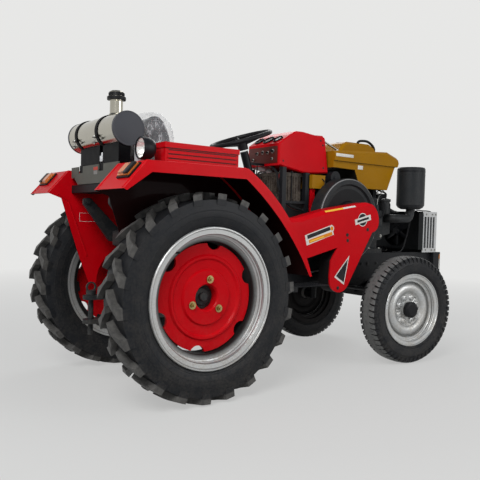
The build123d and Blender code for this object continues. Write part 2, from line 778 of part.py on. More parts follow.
for name, hand in hands:
    with BuildPart() as fender:
        outboard = -hand  # the side datum's normal points to the right
        wall_plane = side.offset(fender_inner * outboard)
        extrude(fender_sheet(wall_plane, sheet, sheet), amount=(fender_outer - fender_inner) * outboard)
        lip_plane = side.offset((fender_outer - sheet) * outboard)
        extrude(fender_sheet(lip_plane, lip_depth, lip_end), amount=sheet * outboard)
        with BuildSketch(wall_plane):
            with BuildLine():
                Polyline(*fender_crown()[:3])
                ThreePointArc(*fender_crown()[2:])
                Polyline(
                    fender_front, (550, 520), (120, 500), (-250, 500), (-310, 656),
                    (-357, 797), (-410, 960), fender_rear,
                )
            make_face()
            with Locations((0, rear_tyre_radius)):
                Circle(205, mode=Mode.SUBTRACT)
        extrude(amount=sheet * outboard)
    finish(fender, f"fender_{name}")

# ---------------------------------------------------------------- toolbox on the right fender
box_back, box_front = -206.0, 209.0
box_right, box_left = -450.0, -350.0
box_rim, lid_top = 1190.0, 1215.0
lid_overhang = 4.0
rib_height = 9.0


def open_box(grow, low, high):
    """Return the toolbox's outline as a block, widened on its four sides."""
    return block((box_back - grow, box_front + grow), (box_right - grow, box_left + grow), (low, high))


with BuildPart() as toolbox:
    add(open_box(0, fender_top, box_rim))
    add(open_box(-sheet, fender_top + sheet, box_rim + 5), mode=Mode.SUBTRACT)
    for height in (1124, 1144, 1164):
        add(block((box_back + 10, box_front - 10), (box_right - 4, box_right), (height, height + rib_height)))
finish(toolbox, "toolbox")

with BuildPart() as toolbox_lid:
    add(open_box(lid_overhang, box_rim, lid_top))
    add(open_box(lid_overhang - sheet, box_rim - 10, lid_top - sheet), mode=Mode.SUBTRACT)
    add(rod((-150, -341.5, box_rim + 2), (150, -341.5, box_rim + 2), 5))
finish(toolbox_lid, "toolbox_lid")

# ---------------------------------------------------------------- seat
with BuildPart() as seat:
    seat_outline = (
        (-120, 1120), (-165, 1345), (-140, 1392), (-80, 1392), (-42, 1352), (-15, 1290),
        (5, 1205), (330, 1190), (352, 1160), (340, 1120),
    )
    extrude(rounded(side.offset(-195), 14, *seat_outline), amount=390)
    chamfer(seat.faces().sort_by(Axis.Y)[0].edges(), 12)
    chamfer(seat.faces().sort_by(Axis.Y)[-1].edges(), 12)
finish(seat, "seat")

with BuildPart() as seat_frame:
    add(block((-60, 260), (-120, 120), (1095, 1120)))
    for ahead in (-30, 190):
        add(block((ahead, ahead + 30), (-95, 95), (811, 1100)))
finish(seat_frame, "seat_frame")

# ---------------------------------------------------------------- tank on the rear plate
tank_ahead, tank_height, tank_radius, tank_half = -306.0, 1283.0, 80.0, 277.0
with BuildPart() as rear_tank:
    add(rod((tank_ahead, -tank_half, tank_height), (tank_ahead, tank_half, tank_height), tank_radius))
    neck_base = place(tank_ahead, -140, tank_height)
    neck_axis = Plane(origin=neck_base, x_dir=(1, 0, 0), z_dir=(0, -1, 0))
    # The filler neck carries a cap with a flange and a domed top.
    neck_outline = (
        (0, 0), (30, 0), (30, 148), (44, 150), (44, 164), (36, 168), (36, 186), (28, 192), (0, 192)
    )
    revolve(profile(neck_axis, *neck_outline), Axis(neck_base, (0, 0, 1)))
finish(rear_tank, "rear_tank")

with BuildPart() as tank_cradle:
    for left, low, high in ((-90, -270, -93), (165, -55, 185)):
        with BuildSketch(side.offset(-left - 13)):
            with Locations((tank_ahead, tank_height)):
                Circle(tank_radius + 4)
        extrude(amount=26)
        add(block((-351, -290), (low, high), (1125, 1215)))
        add(block((-354, -348), (left - 25, left + 25), (1090, 1130)))
    add(rod((tank_ahead, -300, tank_height), (tank_ahead, 300, tank_height), tank_radius), mode=Mode.SUBTRACT)
finish(tank_cradle, "tank_cradle")

with BuildPart() as rear_plate:
    plate_outline = (
        (-290, 1124), (-120, 1124), (-120, 1090), (-60, 1090), (-60, 1124), (135, 1124),
        (135, 1090), (195, 1090), (195, 1124), (290, 1124), (290, 1068), (250, 1068),
        (200, 1032), (-160, 1032), (-250, 1068), (-290, 1068),
    )
    extrude(profile(across.offset(-360), *plate_outline), amount=6)
    add(block((-354, -200), (-299, 299), (990, 1030)))
    add(block((-347, -262), (-200, 200), (1030, 1124)))
    add(block((-354, -347), (-200, 200), (1030, 1085)))
finish(rear_plate, "rear_plate")

# ---------------------------------------------------------------- lamps
lamp_ahead = -410.0
lamp_height = 985 + (lamp_ahead + 480) * 125 / 110  # on the fender's rear slope
for name, hand in hands:
    with BuildPart() as tail_lamp:
        slope = Plane(
            origin=place(lamp_ahead, 505 * hand, lamp_height), x_dir=(0, 1, 0), z_dir=(-125, 0, 110)
        )
        with BuildSketch(slope.offset(0.2)):
            RectangleRounded(105, 76, 8)
        extrude(amount=14)
        with BuildSketch(slope.offset(14)):
            RectangleRounded(93, 64, 8)
        extrude(amount=9, taper=20)
    finish(tail_lamp, f"tail_lamp_{name}")

with BuildPart() as work_lamp:
    lamp_side = Plane(origin=place(0, -400, 1181), x_dir=(1, 0, 0), z_dir=(0, -1, 0))
    lamp_section = (
        (-302, 0), (-302, 44), (-304, 51), (-294, 52), (-266, 50), (-248, 42), (-238, 26), (-236, 0)
    )
    revolve(profile(lamp_side, *lamp_section), Axis(lamp_side.origin, (1, 0, 0)))
    add(block((-280, -262), (-412, -388), (fender_top, 1140)))
finish(work_lamp, "work_lamp")

with BuildPart() as headlamps:
    add(block((2212, 2219), (-170, 170), (790, 812)))
    for left in (-105, 105):
        lamp_side = Plane(origin=place(0, left, 800), x_dir=(1, 0, 0), z_dir=(0, -1, 0))
        lamp_section = ((2218, 0), (2218, 44), (2238, 58), (2252, 60), (2252, 52), (2248, 48), (2248, 0))
        revolve(profile(lamp_side, *lamp_section), Axis(lamp_side.origin, (1, 0, 0)))
finish(headlamps, "headlamps")

# ---------------------------------------------------------------- footboards and controls
for name, hand in hands:
    with BuildPart() as footboard:
        add(block((520, 900), sorted((265 * hand, 420 * hand)), (505, 509)))
        add(block((620, 660), sorted((rail_outer * hand + hand, 420 * hand)), (480, 505)))
    finish(footboard, f"footboard_{name}")

with BuildPart() as driver_controls:
    for hand in (1, -1):
        add(rod((660, 176 * hand, 560), (660, 236 * hand, 560), 18))
        add(rod((660, 226 * hand, 560), (735, 242 * hand, 636), 9))
        add(block((710, 760), sorted((206 * hand, 280 * hand)), (630, 644)))
    for ahead, left, lean in ((440, -60, -30), (490, 60, 30)):
        add(rod((ahead, left, 640), (ahead, left, 665), 20))
        add(rod((ahead, left, 655), (ahead + lean, left + lean, 990), 9))
        add(rod((ahead + lean, left + lean, 975), (ahead + lean, left + lean, 1015), 20))
finish(driver_controls, "driver_controls")
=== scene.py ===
# %% [markdown]
# # A small belt-drive farm tractor
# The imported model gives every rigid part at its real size. These cells load it as a fixed
# frame, give each part its finish, and model what a CAD model leaves out: tyre tread, bolts,
# pipes, wires, a seat wrapped in film, gauges and lamp glass. Everything is in metres.

# %% Load the frame
import json
from functools import partial
from math import atan2, cos, hypot, pi, radians, sin

import bmesh
import bpy
from mathutils import Matrix, Vector, noise


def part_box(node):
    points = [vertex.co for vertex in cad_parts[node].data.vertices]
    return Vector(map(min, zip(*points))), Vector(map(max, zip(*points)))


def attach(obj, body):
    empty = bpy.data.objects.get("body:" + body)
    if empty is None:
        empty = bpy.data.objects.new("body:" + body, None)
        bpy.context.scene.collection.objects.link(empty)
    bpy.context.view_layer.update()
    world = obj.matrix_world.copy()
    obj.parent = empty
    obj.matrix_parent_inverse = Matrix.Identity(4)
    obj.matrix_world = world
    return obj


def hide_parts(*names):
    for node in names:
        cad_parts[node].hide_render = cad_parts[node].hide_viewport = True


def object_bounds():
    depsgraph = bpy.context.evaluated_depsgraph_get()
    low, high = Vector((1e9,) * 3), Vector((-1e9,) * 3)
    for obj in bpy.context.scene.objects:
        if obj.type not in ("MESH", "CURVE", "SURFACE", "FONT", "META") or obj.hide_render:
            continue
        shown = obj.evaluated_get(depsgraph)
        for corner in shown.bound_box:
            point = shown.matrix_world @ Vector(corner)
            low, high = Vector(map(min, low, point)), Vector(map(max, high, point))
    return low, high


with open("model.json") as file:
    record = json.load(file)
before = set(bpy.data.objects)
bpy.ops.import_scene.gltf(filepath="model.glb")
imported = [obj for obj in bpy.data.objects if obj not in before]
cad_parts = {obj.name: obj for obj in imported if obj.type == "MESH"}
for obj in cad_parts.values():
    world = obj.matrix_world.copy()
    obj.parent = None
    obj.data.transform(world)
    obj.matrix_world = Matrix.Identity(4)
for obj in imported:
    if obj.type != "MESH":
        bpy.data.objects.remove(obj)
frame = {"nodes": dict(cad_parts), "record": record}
cad_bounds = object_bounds()

# %% [markdown]
# ## Places
# The rear axle is the datum that a workshop manual measures a tractor from, so one helper
# turns "ahead of the rear axle, left of centre, above the ground" into a point. Another makes
# a frame for a flat or round piece: its own z is the way that the piece faces.

# %% Measure the frame
def middle(node):
    """The centre of a CAD node's box."""
    low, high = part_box(node)
    return (low + high) / 2


hands = {"left": 1.0, "right": -1.0}
rear_wheel = {hand: middle(f"rear_rim_{hand}") for hand in hands}
front_wheel = {hand: middle(f"front_wheel_{hand}") for hand in hands}
axle_x = rear_wheel["right"].x
ahead, leftward, up = Vector((1, 0, 0)), Vector((0, 1, 0)), Vector((0, 0, 1))


def at(ahead_of_axle, left, height):
    """A point given from the rear axle, the centre line and the ground."""
    return Vector((axle_x + ahead_of_axle, left, height))


def facing(origin, z, x=up):
    """The matrix of a frame at origin, whose z points as given and whose x leans towards x."""
    z = Vector(z).normalized()
    y = z.cross(Vector(x)).normalized()
    columns = Matrix((y.cross(z), y, z)).transposed().to_4x4()
    return Matrix.Translation(origin) @ columns


print("rear axle at", round(axle_x, 4), "wheelbase", round(front_wheel["right"].x - axle_x, 4))

# %% [markdown]
# ## Camera
# The view is from behind and to the right, at hip height, looking a little below level. Three
# angles give the lens its direction, and the columns of its matrix are its right, up and back.

# %% Camera
view_yaw, view_pitch, view_roll = 0.6426, -0.0326, 0.0257
view_point = at(-1.5623, -2.8457, 0.8647)

ahead_of_lens = Vector(
    (sin(view_yaw) * cos(view_pitch), cos(view_yaw) * cos(view_pitch), sin(view_pitch))
)
level_right = Vector((cos(view_yaw), -sin(view_yaw), 0))
level_up = level_right.cross(ahead_of_lens)
lens_right = level_right * cos(view_roll) + level_up * sin(view_roll)
lens_up = level_up * cos(view_roll) - level_right * sin(view_roll)

scene = bpy.context.scene
camera = bpy.data.objects.new("camera", bpy.data.cameras.new("camera"))
camera.data.sensor_width = 36
camera.data.lens = 44.84
turn = Matrix((lens_right, lens_up, -ahead_of_lens)).transposed().to_4x4()
camera.matrix_world = Matrix.Translation(view_point) @ turn
scene.collection.objects.link(camera)
scene.camera = camera
scene.view_settings.view_transform = "Standard"
print("camera", round((view_point - middle("rear_disc_right")).length, 2), "m from the wheel")

# %% [markdown]
# ## Nodes
# Every finish and the studio are small networks of shader nodes. Two helpers add a node or a
# material and fill its sockets, each with a value or with a link from another node. Sums on
# sockets then read like sums on numbers.

# %% Helpers for shader nodes
def fill(tree, sockets, inputs):
    """Give each named socket its value, or link it from another node's socket."""
    for name, value in inputs.items():
        if isinstance(value, bpy.types.NodeSocket):
            tree.links.new(value, sockets[name])
        else:
            sockets[name].default_value = value


def add(tree, kind, inputs=None, **settings):
    """Add a shader node with its settings and inputs."""
    node = tree.nodes.new("ShaderNode" + kind)
    for name, value in settings.items():
        setattr(node, name, value)
    fill(tree, node.inputs, inputs or {})
    return node


def calculate(tree, *values, operation, clamp=False):
    """A Math node on sockets or numbers, and its result."""
    node = add(tree, "Math", dict(enumerate(values)), operation=operation, use_clamp=clamp)
    return node.outputs[0]


plus, minus = partial(calculate, operation="ADD"), partial(calculate, operation="SUBTRACT")
times, size_of = partial(calculate, operation="MULTIPLY"), partial(calculate, operation="ABSOLUTE")
times_plus = partial(calculate, operation="MULTIPLY_ADD")


def mixed(tree, factor, first, second, kind="RGBA"):
    """Mix two colours or two numbers by a factor."""
    inputs = {"Factor": factor, "A": first, "B": second}
    return add(tree, "Mix", inputs, data_type=kind).outputs["Result"]


def principled(name, inputs):
    """A new material, its node tree, and its shader with some sockets filled."""
    material = bpy.data.materials.new(name)
    material.use_nodes = True
    tree = material.node_tree
    shader = tree.nodes["Principled BSDF"]
    fill(tree, shader.inputs, inputs)
    return material, tree, shader


def mix_shaders(tree, share, first, second, ending="Material Output"):
    """Join two shaders by a share, and send them to the tree's output node."""
    mix = add(tree, "MixShader", {0: share, 1: first.outputs[0], 2: second.outputs[0]})
    tree.links.new(mix.outputs[0], tree.nodes[ending].inputs["Surface"])


def part_of(tree, vector, axis):
    """One part, "X", "Y" or "Z", of a vector socket."""
    return add(tree, "SeparateXYZ", {0: vector}).outputs[axis]


def place(tree):
    """The Object coordinates, which are in metres."""
    return add(tree, "TexCoord").outputs["Object"]


def coordinate(tree, axis):
    """One Object coordinate, in metres."""
    return part_of(tree, place(tree), axis)


print("helpers for nodes are ready")

# %% [markdown]
# ## Studio
# A wide floor and an even world stand in for an overcast yard. The lens, and anything shiny,
# sees a paler backdrop than the one that lights the tractor: Light Path tells those rays
# apart. Far from the tractor the floor fades into the backdrop, so no horizon shows.

# %% Floor, world and lamps
def seen_by_lens(tree):
    """A socket that is 1 for rays from the lens, from shiny things and through glass."""
    path = add(tree, "LightPath")
    total = path.outputs["Is Camera Ray"]
    for kind in ("Is Glossy Ray", "Is Transmission Ray"):
        total = calculate(tree, total, path.outputs[kind], operation="MAXIMUM")
    return total


pale, dusk = (0.80, 0.80, 0.79, 1), (0.16, 0.17, 0.19, 1)
world = bpy.data.worlds.new("studio")
scene.world = world
world.use_nodes = True
tree = world.node_tree
sky = tree.nodes["Background"]
fill(tree, sky.inputs, {"Color": (0.88, 0.92, 1.0, 1), "Strength": 0.42})
# The backdrop is pale at the horizon and darker overhead, which gives polished steel its
# light and dark bands.
height = part_of(tree, add(tree, "TexCoord").outputs["Generated"], "Z")
overhead = add(tree, "ValToRGB", {0: height})
for stop, position, colour in zip(overhead.color_ramp.elements, (0.42, 0.75), (pale, dusk)):
    stop.position, stop.color = position, colour
backdrop = add(tree, "Background", {"Color": overhead.outputs[0]})
mix_shaders(tree, seen_by_lens(tree), sky, backdrop, "World Output")

floor_mesh = bmesh.new()
bmesh.ops.create_grid(floor_mesh, x_segments=1, y_segments=1, size=40)
floor_data = bpy.data.meshes.new("floor")
floor_mesh.to_mesh(floor_data)
floor = bpy.data.objects.new("floor", floor_data)
scene.collection.objects.link(floor)

floor_paint, tree, lit = principled(
    "pale_floor", {"Base Color": (0.42, 0.42, 0.41, 1), "Roughness": 0.9}
)
distance = add(tree, "VectorMath", {0: place(tree)}, operation="LENGTH").outputs["Value"]
far_off = {"Value": distance, "From Min": 1.5, "From Max": 7.0, "To Min": 0.55, "To Max": 1.0}
fade = add(tree, "MapRange", far_off).outputs[0]
mix_shaders(tree, times(tree, fade, seen_by_lens(tree)), lit, add(tree, "Emission", {"Color": pale}))
floor_data.materials.append(floor_paint)

# Square area lamps, each facing the middle of the tractor: place, size and watts.
heart = (cad_bounds[0] + cad_bounds[1]) / 2
for name, point, size, watts in (
    ("key", at(-2.6, -2.4, 3.6), 2.2, 170), ("fill", at(2.4, -3.4, 1.8), 2.0, 45),
    ("rim", at(3.4, 2.6, 3.6), 2.6, 65),
):
    lamp = bpy.data.objects.new(name, bpy.data.lights.new(name, "AREA"))
    lamp.data.size, lamp.data.energy = size, watts
    lamp.matrix_world = facing(point, point - heart)
    scene.collection.objects.link(lamp)

# %% [markdown]
# ## Effects that several finishes share
# Paint, castings and rubber all gather yard dust, and they all have a fine grain. Each effect
# is a node group, built once. A group gives a mask or a height, and the shader that uses it
# stays in the material. All of them read Object coordinates, so a pattern has its real size.

# %% Node groups
def effect(name, settings, result):
    """An empty node group with number inputs and one number output."""
    group = bpy.data.node_groups.new(name, "ShaderNodeTree")
    for label, value in settings.items():
        socket = group.interface.new_socket(label, in_out="INPUT", socket_type="NodeSocketFloat")
        socket.default_value = value
    group.interface.new_socket(result, in_out="OUTPUT", socket_type="NodeSocketFloat")
    given = group.nodes.new("NodeGroupInput").outputs
    return group, given, group.nodes.new("NodeGroupOutput").inputs[0]


def clouds(tree, scale, detail=4.0, stretch=(1, 1, 1)):
    """A Noise texture on Object coordinates, and its value."""
    mapping = add(tree, "Mapping", {"Vector": place(tree), "Scale": stretch})
    inputs = {"Vector": mapping.outputs[0], "Scale": scale, "Detail": detail}
    return add(tree, "TexNoise", inputs).outputs["Fac"]


# Dust settles in clouds, and more of it lies low down, where the wheels throw it.
dust, given, mask = effect("yard_dust", {"Amount": 0.5, "Top": 0.6}, "Mask")
low_down = calculate(dust, coordinate(dust, "Z"), given["Top"], operation="DIVIDE", clamp=True)
cloud = times(dust, clouds(dust, 14.0, 6.0), clouds(dust, 90.0, 3.0))
cloud = times(dust, minus(dust, cloud, 0.16), 5.0, clamp=True)
cloud = times(dust, cloud, minus(dust, 1.15, low_down))
dust.links.new(times(dust, cloud, given["Amount"], clamp=True), mask)

# Grain is the skin of sprayed paint, sand castings and moulded rubber, at different scales.
grain, given, relief = effect("skin_grain", {"Scale": 300.0}, "Height")
coarse = clouds(grain, times(grain, given["Scale"], 0.23), 2.0)
grain.links.new(plus(grain, clouds(grain, given["Scale"], 3.0), coarse), relief)

# Brushing leaves lines along one way; here they run round the long tank and along the bars.
brushing, given, relief = effect("brushed_lines", {"Scale": 30.0}, "Height")
brushing.links.new(clouds(brushing, given["Scale"], 3.0, stretch=(1, 26, 1)), relief)
print("node groups:", [group.name for group in bpy.data.node_groups])

# %% [markdown]
# ## Finishes
# One helper builds a Principled material from a base colour, a roughness that varies a little,
# a grain and some dust. Numbers that are the same all over sit on the shader's own sockets,
# and only what varies is linked. Glass and film have helpers of their own, because light
# passes through them.

# %% Materials
dust_colour = (0.30, 0.26, 0.21, 1)


def surface(
    name, colour, roughness, vary=0.08, metallic=0.0, coat=0.0, grain_scale=0.0,
    grain_depth=0.0, dusty=0.0, dust_top=0.6, blotch=0.12, lines=0.0, specular=0.12,
):
    """A procedural material: colour with blotches and dust, uneven gloss and a grain."""
    material, tree, shader = principled(name, {
        "Metallic": metallic, "Coat Weight": coat, "Coat Roughness": 0.06,
        "Specular IOR Level": specular,
    })
    dark, light = ((*[min(1, c * (1 + way)) for c in colour], 1) for way in (-blotch, blotch))
    tint = mixed(tree, clouds(tree, 9.0, 5.0), dark, light)
    if dusty:
        group = add(tree, "Group", node_tree=dust)
        fill(tree, group.inputs, {"Amount": dusty, "Top": dust_top})
        settled = group.outputs["Mask"]
        tint = mixed(tree, settled, tint, dust_colour)
        rough = times_plus(tree, settled, 0.5, roughness, clamp=True)
    else:
        rough = times_plus(tree, clouds(tree, 24.0, 4.0), 2 * vary, roughness - vary)
    fill(tree, shader.inputs, {"Base Color": tint, "Roughness": rough})
    if grain_depth or lines:
        skin = add(tree, "Group", node_tree=brushing if lines else grain)
        fill(tree, skin.inputs, {"Scale": lines or grain_scale})
        inputs = {"Height": skin.outputs[0], "Distance": grain_depth or 0.0002, "Strength": 0.5}
        fill(tree, shader.inputs, {"Normal": add(tree, "Bump", inputs).outputs[0]})
    return material


paint = {"vary": 0.05, "grain_scale": 160, "grain_depth": 0.0003}
cast = {"grain_scale": 420, "grain_depth": 0.0012, "dusty": 0.12, "dust_top": 1.2}
red_paint = surface(
    "red_gloss", (0.46, 0.001, 0.005), 0.33, coat=0.02, dusty=0.05, specular=0.05, **paint
)
black_paint = surface("black_satin", (0.008, 0.009, 0.011), 0.36, dusty=0.05, dust_top=1.0, **paint)
dark_iron = surface("dark_casting", (0.016, 0.018, 0.020), 0.42, **cast)
silver_paint = surface(
    "silver_lacquer", (0.46, 0.47, 0.47), 0.34, metallic=0.75, dusty=0.5, dust_top=1.0, **paint
)
polished_steel = surface(
    "polished_steel", (0.44, 0.42, 0.36), 0.14, vary=0.04, metallic=1.0, lines=34
)
black_rubber = surface(
    "moulded_rubber", (0.010, 0.010, 0.011), 0.42, grain_scale=800, grain_depth=0.0004
)
aluminium = surface(
    "rolled_aluminium", (0.50, 0.51, 0.52), 0.38, metallic=0.9, lines=60, dusty=0.3, dust_top=2
)
# The finish of each material slot in the record.
finishes = {
    "red_paint": red_paint, "black_paint": black_paint, "dark_iron": dark_iron,
    "silver_paint": silver_paint, "polished_steel": polished_steel, "aluminium": aluminium,
    "black_rubber": black_rubber,
    "ochre_paint": surface(
        "ochre_gloss", (0.27, 0.125, 0.002), 0.38, coat=0.02, dusty=0.04, dust_top=2,
        specular=0.05, **paint
    ),
    "grey_paint": surface("grey_flat", (0.088, 0.086, 0.074), 0.55, **paint),
    "tyre_rubber": surface(
        "tyre_rubber", (0.009, 0.010, 0.012), 0.46, vary=0.1, specular=0.16, grain_scale=520,
        grain_depth=0.0006, dusty=0.06, dust_top=1.1, blotch=0.15,
    ),
    "seat_cover": surface(
        "seat_vinyl", (0.018, 0.019, 0.021), 0.40, grain_scale=900, grain_depth=0.0006
    ),
    "battery_case": surface(
        "battery_case", (0.022, 0.016, 0.012), 0.42, dusty=0.4, dust_top=2.0,
        grain_scale=300, grain_depth=0.0004,
    ),
    "lamp_orange": surface("orange_lens", (0.46, 0.12, 0.018), 0.15, coat=0.4),
}
zinc = surface("gold_zinc", (0.36, 0.28, 0.12), 0.34, metallic=1.0)
bright = surface(
    "bright_steel", (0.36, 0.36, 0.34), 0.30, metallic=1.0, vary=0.06, dusty=0.3, dust_top=1.5
)
pale_metal = surface("pale_metal", (0.62, 0.63, 0.64), 0.42, metallic=0.3, vary=0.06)
mirror_finish = surface(
    "lamp_mirror", (0.86, 0.86, 0.83), 0.24, metallic=0.6, vary=0.02, blotch=0.03
)
slate = surface("slate_end", (0.050, 0.053, 0.060), 0.40, **paint)
hose_rubber = surface(
    "hose_rubber", (0.010, 0.010, 0.011), 0.5, grain_scale=700, grain_depth=0.0004
)
red_wire = surface("red_wire", (0.35, 0.008, 0.008), 0.45, grain_scale=700, grain_depth=0.0002)
brown_plate = surface(
    "brown_plate", (0.085, 0.018, 0.014), 0.40, grain_scale=600, grain_depth=0.0003
)
dial_black = surface("dial_black", (0.008, 0.008, 0.009), 0.18, coat=0.5, vary=0.03)
white_label = surface("white_label", (0.62, 0.61, 0.57), 0.45, vary=0.06, dusty=0.2, dust_top=3)
green_rod = surface("green_rod", (0.012, 0.045, 0.022), 0.45, **paint)
decal_orange = surface("decal_orange", (0.62, 0.20, 0.010), 0.4, vary=0.04)
decal_red = surface("decal_red", (0.42, 0.045, 0.030), 0.45, vary=0.04)
label_grey = surface("label_grey", (0.20, 0.19, 0.18), 0.5, vary=0.04)
decal_yellow = surface("decal_yellow", (0.72, 0.42, 0.045), 0.4, vary=0.04)


def fluted_glass(name, colour, roughness, flutes, solidity):
    """Glass whose share of solid shader is small, and highest where it is seen edge on."""
    material, tree, shader = principled(name, {"Base Color": colour, "Roughness": roughness})
    edge = add(tree, "LayerWeight", {"Blend": 0.35}).outputs["Facing"]
    solid = times(tree, edge, solidity)
    solid = times_plus(tree, solid, clouds(tree, 55.0, 5.0), solidity * 0.5, clamp=True)
    waves = add(tree, "TexWave", {"Vector": place(tree), "Scale": flutes}, bands_direction="Y")
    bump = add(tree, "Bump", {"Height": waves.outputs["Fac"], "Distance": 0.001})
    fill(tree, shader.inputs, {"Normal": bump.outputs[0]})
    mix_shaders(tree, solid, add(tree, "BsdfTransparent"), shader)
    return material


def ridges(tree, pattern, sharpness):
    """Thin ridges where a noise passes its middle value, and the distance from them."""
    off = size_of(tree, minus(tree, pattern, 0.5))
    return minus(tree, 1.0, times(tree, off, sharpness), clamp=True), off


def crumpled_film(name, colour, base_share, crease_highlight_share):
    """Thin clear film: see-through between creases, which are painted paler and more solid, partly as
    real crumpling and partly as painted highlights.
    """
    material, tree, shader = principled(name, {"Base Color": colour, "Roughness": 0.14})
    crest, off_crest = ridges(tree, clouds(tree, 15.0, 3.0, stretch=(1.0, 1.0, 0.40)), 10.0)
    crest = times(tree, crest, clouds(tree, 7.0, 3.0))
    thin, _ = ridges(tree, clouds(tree, 34.0, 2.0, stretch=(1.0, 0.8, 0.35)), 30.0)
    share = times_plus(tree, crest, crease_highlight_share, base_share)
    share = plus(tree, share, times(tree, thin, crest), clamp=True)
    bump = add(tree, "Bump", {"Height": off_crest, "Distance": 0.02})
    fill(tree, shader.inputs, {"Normal": bump.outputs[0]})
    mix_shaders(tree, share, add(tree, "BsdfTransparent"), shader)
    return material


lamp_glass = fluted_glass("lamp_glass", (0.85, 0.88, 0.90, 1), 0.05, 28.0, 0.07)
film_clear = crumpled_film("clear_film", (0.60, 0.61, 0.63, 1), 0.16, 0.20)
print(len(finishes), "slot finishes and", len(bpy.data.materials) - len(finishes), "others")

# %% [markdown]
# ## Finishes that change over a part
# Some parts wear two finishes. Wheel arches are undersealed and darkened as painted shade,
# a rim's well and a front wheel's back are darkened as painted shade, and the fuel tank is
# darkened as painted shade where it looks down. The flywheel has a pale ring near its rim as a
# painted highlight and its dish is darkened as painted shade, and the radiator's shroud and core
# are darker than its ribs. A mask made from the place, or from the way that a face looks,
# mixes the second colour in.

# %% Overlays
def look(tree, axis):
    """How far a face looks along an axis, from -1 to 1."""
    return part_of(tree, add(tree, "NewGeometry").outputs["Normal"], axis)


def outboard_look(tree):
    """How far a face looks away from the centre line, from -1 to 1."""
    side = calculate(tree, coordinate(tree, "Y"), operation="SIGN")
    return times(tree, look(tree, "Y"), side)


def from_middle(tree):
    """The distance from the centre line."""
    return size_of(tree, coordinate(tree, "Y"))


def rise(tree, value, low, high):
    """A socket that climbs from 0 to 1 as a value goes from low to high."""
    inputs = {"Value": value, "From Min": low, "From Max": high}
    return add(tree, "MapRange", inputs).outputs[0]


def from_axle(tree, centre):
    """The distance from a cross axle through a centre."""
    across = minus(tree, coordinate(tree, "X"), centre.x)
    above = minus(tree, coordinate(tree, "Z"), centre.z)
    square = plus(tree, times(tree, across, across), times(tree, above, above))
    return calculate(tree, square, operation="SQRT")


def ring(tree, radius, middle_radius, width):
    """A thin ring with soft edges, at one radius; width is from its middle to its foot."""
    return rise(tree, size_of(tree, minus(tree, radius, middle_radius)), width, 0.0008)


def overlay(material, mask, colour, roughness):
    """Mix a second colour and roughness over a finish, by a mask."""
    tree = material.node_tree
    inputs = tree.nodes["Principled BSDF"].inputs
    for name, second, kind in (
        ("Base Color", (*colour, 1), "RGBA"), ("Roughness", roughness, "FLOAT")
    ):
        first = inputs[name].links[0].from_socket
        fill(tree, inputs, {name: mixed(tree, mask, first, second, kind)})


def variant(finish, name):
    """A copy of a finish under another name, and its node tree."""
    copy = finish.copy()
    copy.name = name
    return copy, copy.node_tree


# Underseal and painted shade: faces that look down, or towards the wheel from the arch's wall or lip, get
# a dark underseal, which also stands in for the shade under the arch.
arch, tree = variant(red_paint, "undersealed_and_shaded_red")
outward, side_place = outboard_look(tree), from_middle(tree)
wall_inside = times(tree, rise(tree, outward, 0.4, 0.6), rise(tree, side_place, 0.45, 0.44))
lip_inside = times(tree, rise(tree, outward, -0.4, -0.6), rise(tree, side_place, 0.55, 0.56))
either = plus(tree, wall_inside, lip_inside)
either = plus(tree, either, rise(tree, look(tree, "Z"), -0.15, -0.3), clamp=True)
overlay(arch, either, (0.012, 0.002, 0.002), 0.6)

# Painted shade: a rear rim's well is darkened, and a thin dark line is painted at each of its two rolled
# steps.
rim_finish, tree = variant(silver_paint, "rim_silver_painted_shade")
side_place, radius = from_middle(tree), from_axle(tree, rear_wheel["right"])
well_shade = times(tree, rise(tree, side_place, 0.528, 0.523), rise(tree, side_place, 0.40, 0.41))
for step in (0.3010, 0.3240):
    well_shade = plus(tree, well_shade, times(tree, ring(tree, radius, step, 0.0018), 0.6), clamp=True)
overlay(rim_finish, well_shade, (0.030, 0.028, 0.028), 0.55)

# Painted shade: a front wheel's faces that look inboard are darkened, and so is the wheel inboard of its
# well.
front_finish, tree = variant(silver_paint, "front_wheel_silver_painted_shade")
well_shade = rise(tree, from_middle(tree), 0.452, 0.442)
back = plus(tree, rise(tree, outboard_look(tree), -0.2, -0.35), well_shade, clamp=True)
overlay(front_finish, back, (0.016, 0.015, 0.015), 0.6)

# Painted shade: the belt guard's return on its lower leg is painted black inside and along its edge,
# where it lies in shade.
guard_finish, tree = variant(red_paint, "guard_red_painted_shade")
leg_shade = rise(tree, coordinate(tree, "Y"), -0.3745, -0.3735)
leg_shade = times(tree, leg_shade, rise(tree, coordinate(tree, "Z"), 0.735, 0.725))
overlay(guard_finish, leg_shade, (0.010, 0.009, 0.009), 0.6)

# The radiator's core is duller than the ribs before it, and its shroud is black.
core_finish, tree = variant(aluminium, "radiator_aluminium")
core = times(
    tree, rise(tree, from_middle(tree), 0.1915, 0.1905),
    rise(tree, coordinate(tree, "X"), axle_x + 2.2, axle_x + 2.199),
)
core = times(tree, core, rise(tree, coordinate(tree, "Z"), 0.9245, 0.924))
overlay(core_finish, core, (0.085, 0.088, 0.090), 0.5)
shroud = rise(tree, coordinate(tree, "X"), axle_x + 2.050, axle_x + 2.047)
overlay(core_finish, shroud, (0.012, 0.013, 0.014), 0.5)

# Painted shade: the fuel tank is darkened where its faces look down over the flywheel.
tank_finish, tree = variant(finishes["ochre_paint"], "tank_ochre_painted_shade")
overlay(tank_finish, rise(tree, look(tree, "Z"), -0.25, -0.35), (0.010, 0.009, 0.008), 0.6)

# The rear plate's lower part is black.
plate_finish, tree = variant(finishes["grey_paint"], "plate_grey")
below = rise(tree, coordinate(tree, "Z"), 1.0315, 1.0312)
overlay(plate_finish, below, (0.010, 0.010, 0.011), 0.5)

# The cradle under the tank is black, and is painted a deeper black than the frame as shade under the
# tank.
cradle_black_painted_shade = surface(
    "cradle_black_painted_shade", (0.0015, 0.0016, 0.0022), 0.5, vary=0.1, specular=0.08
)
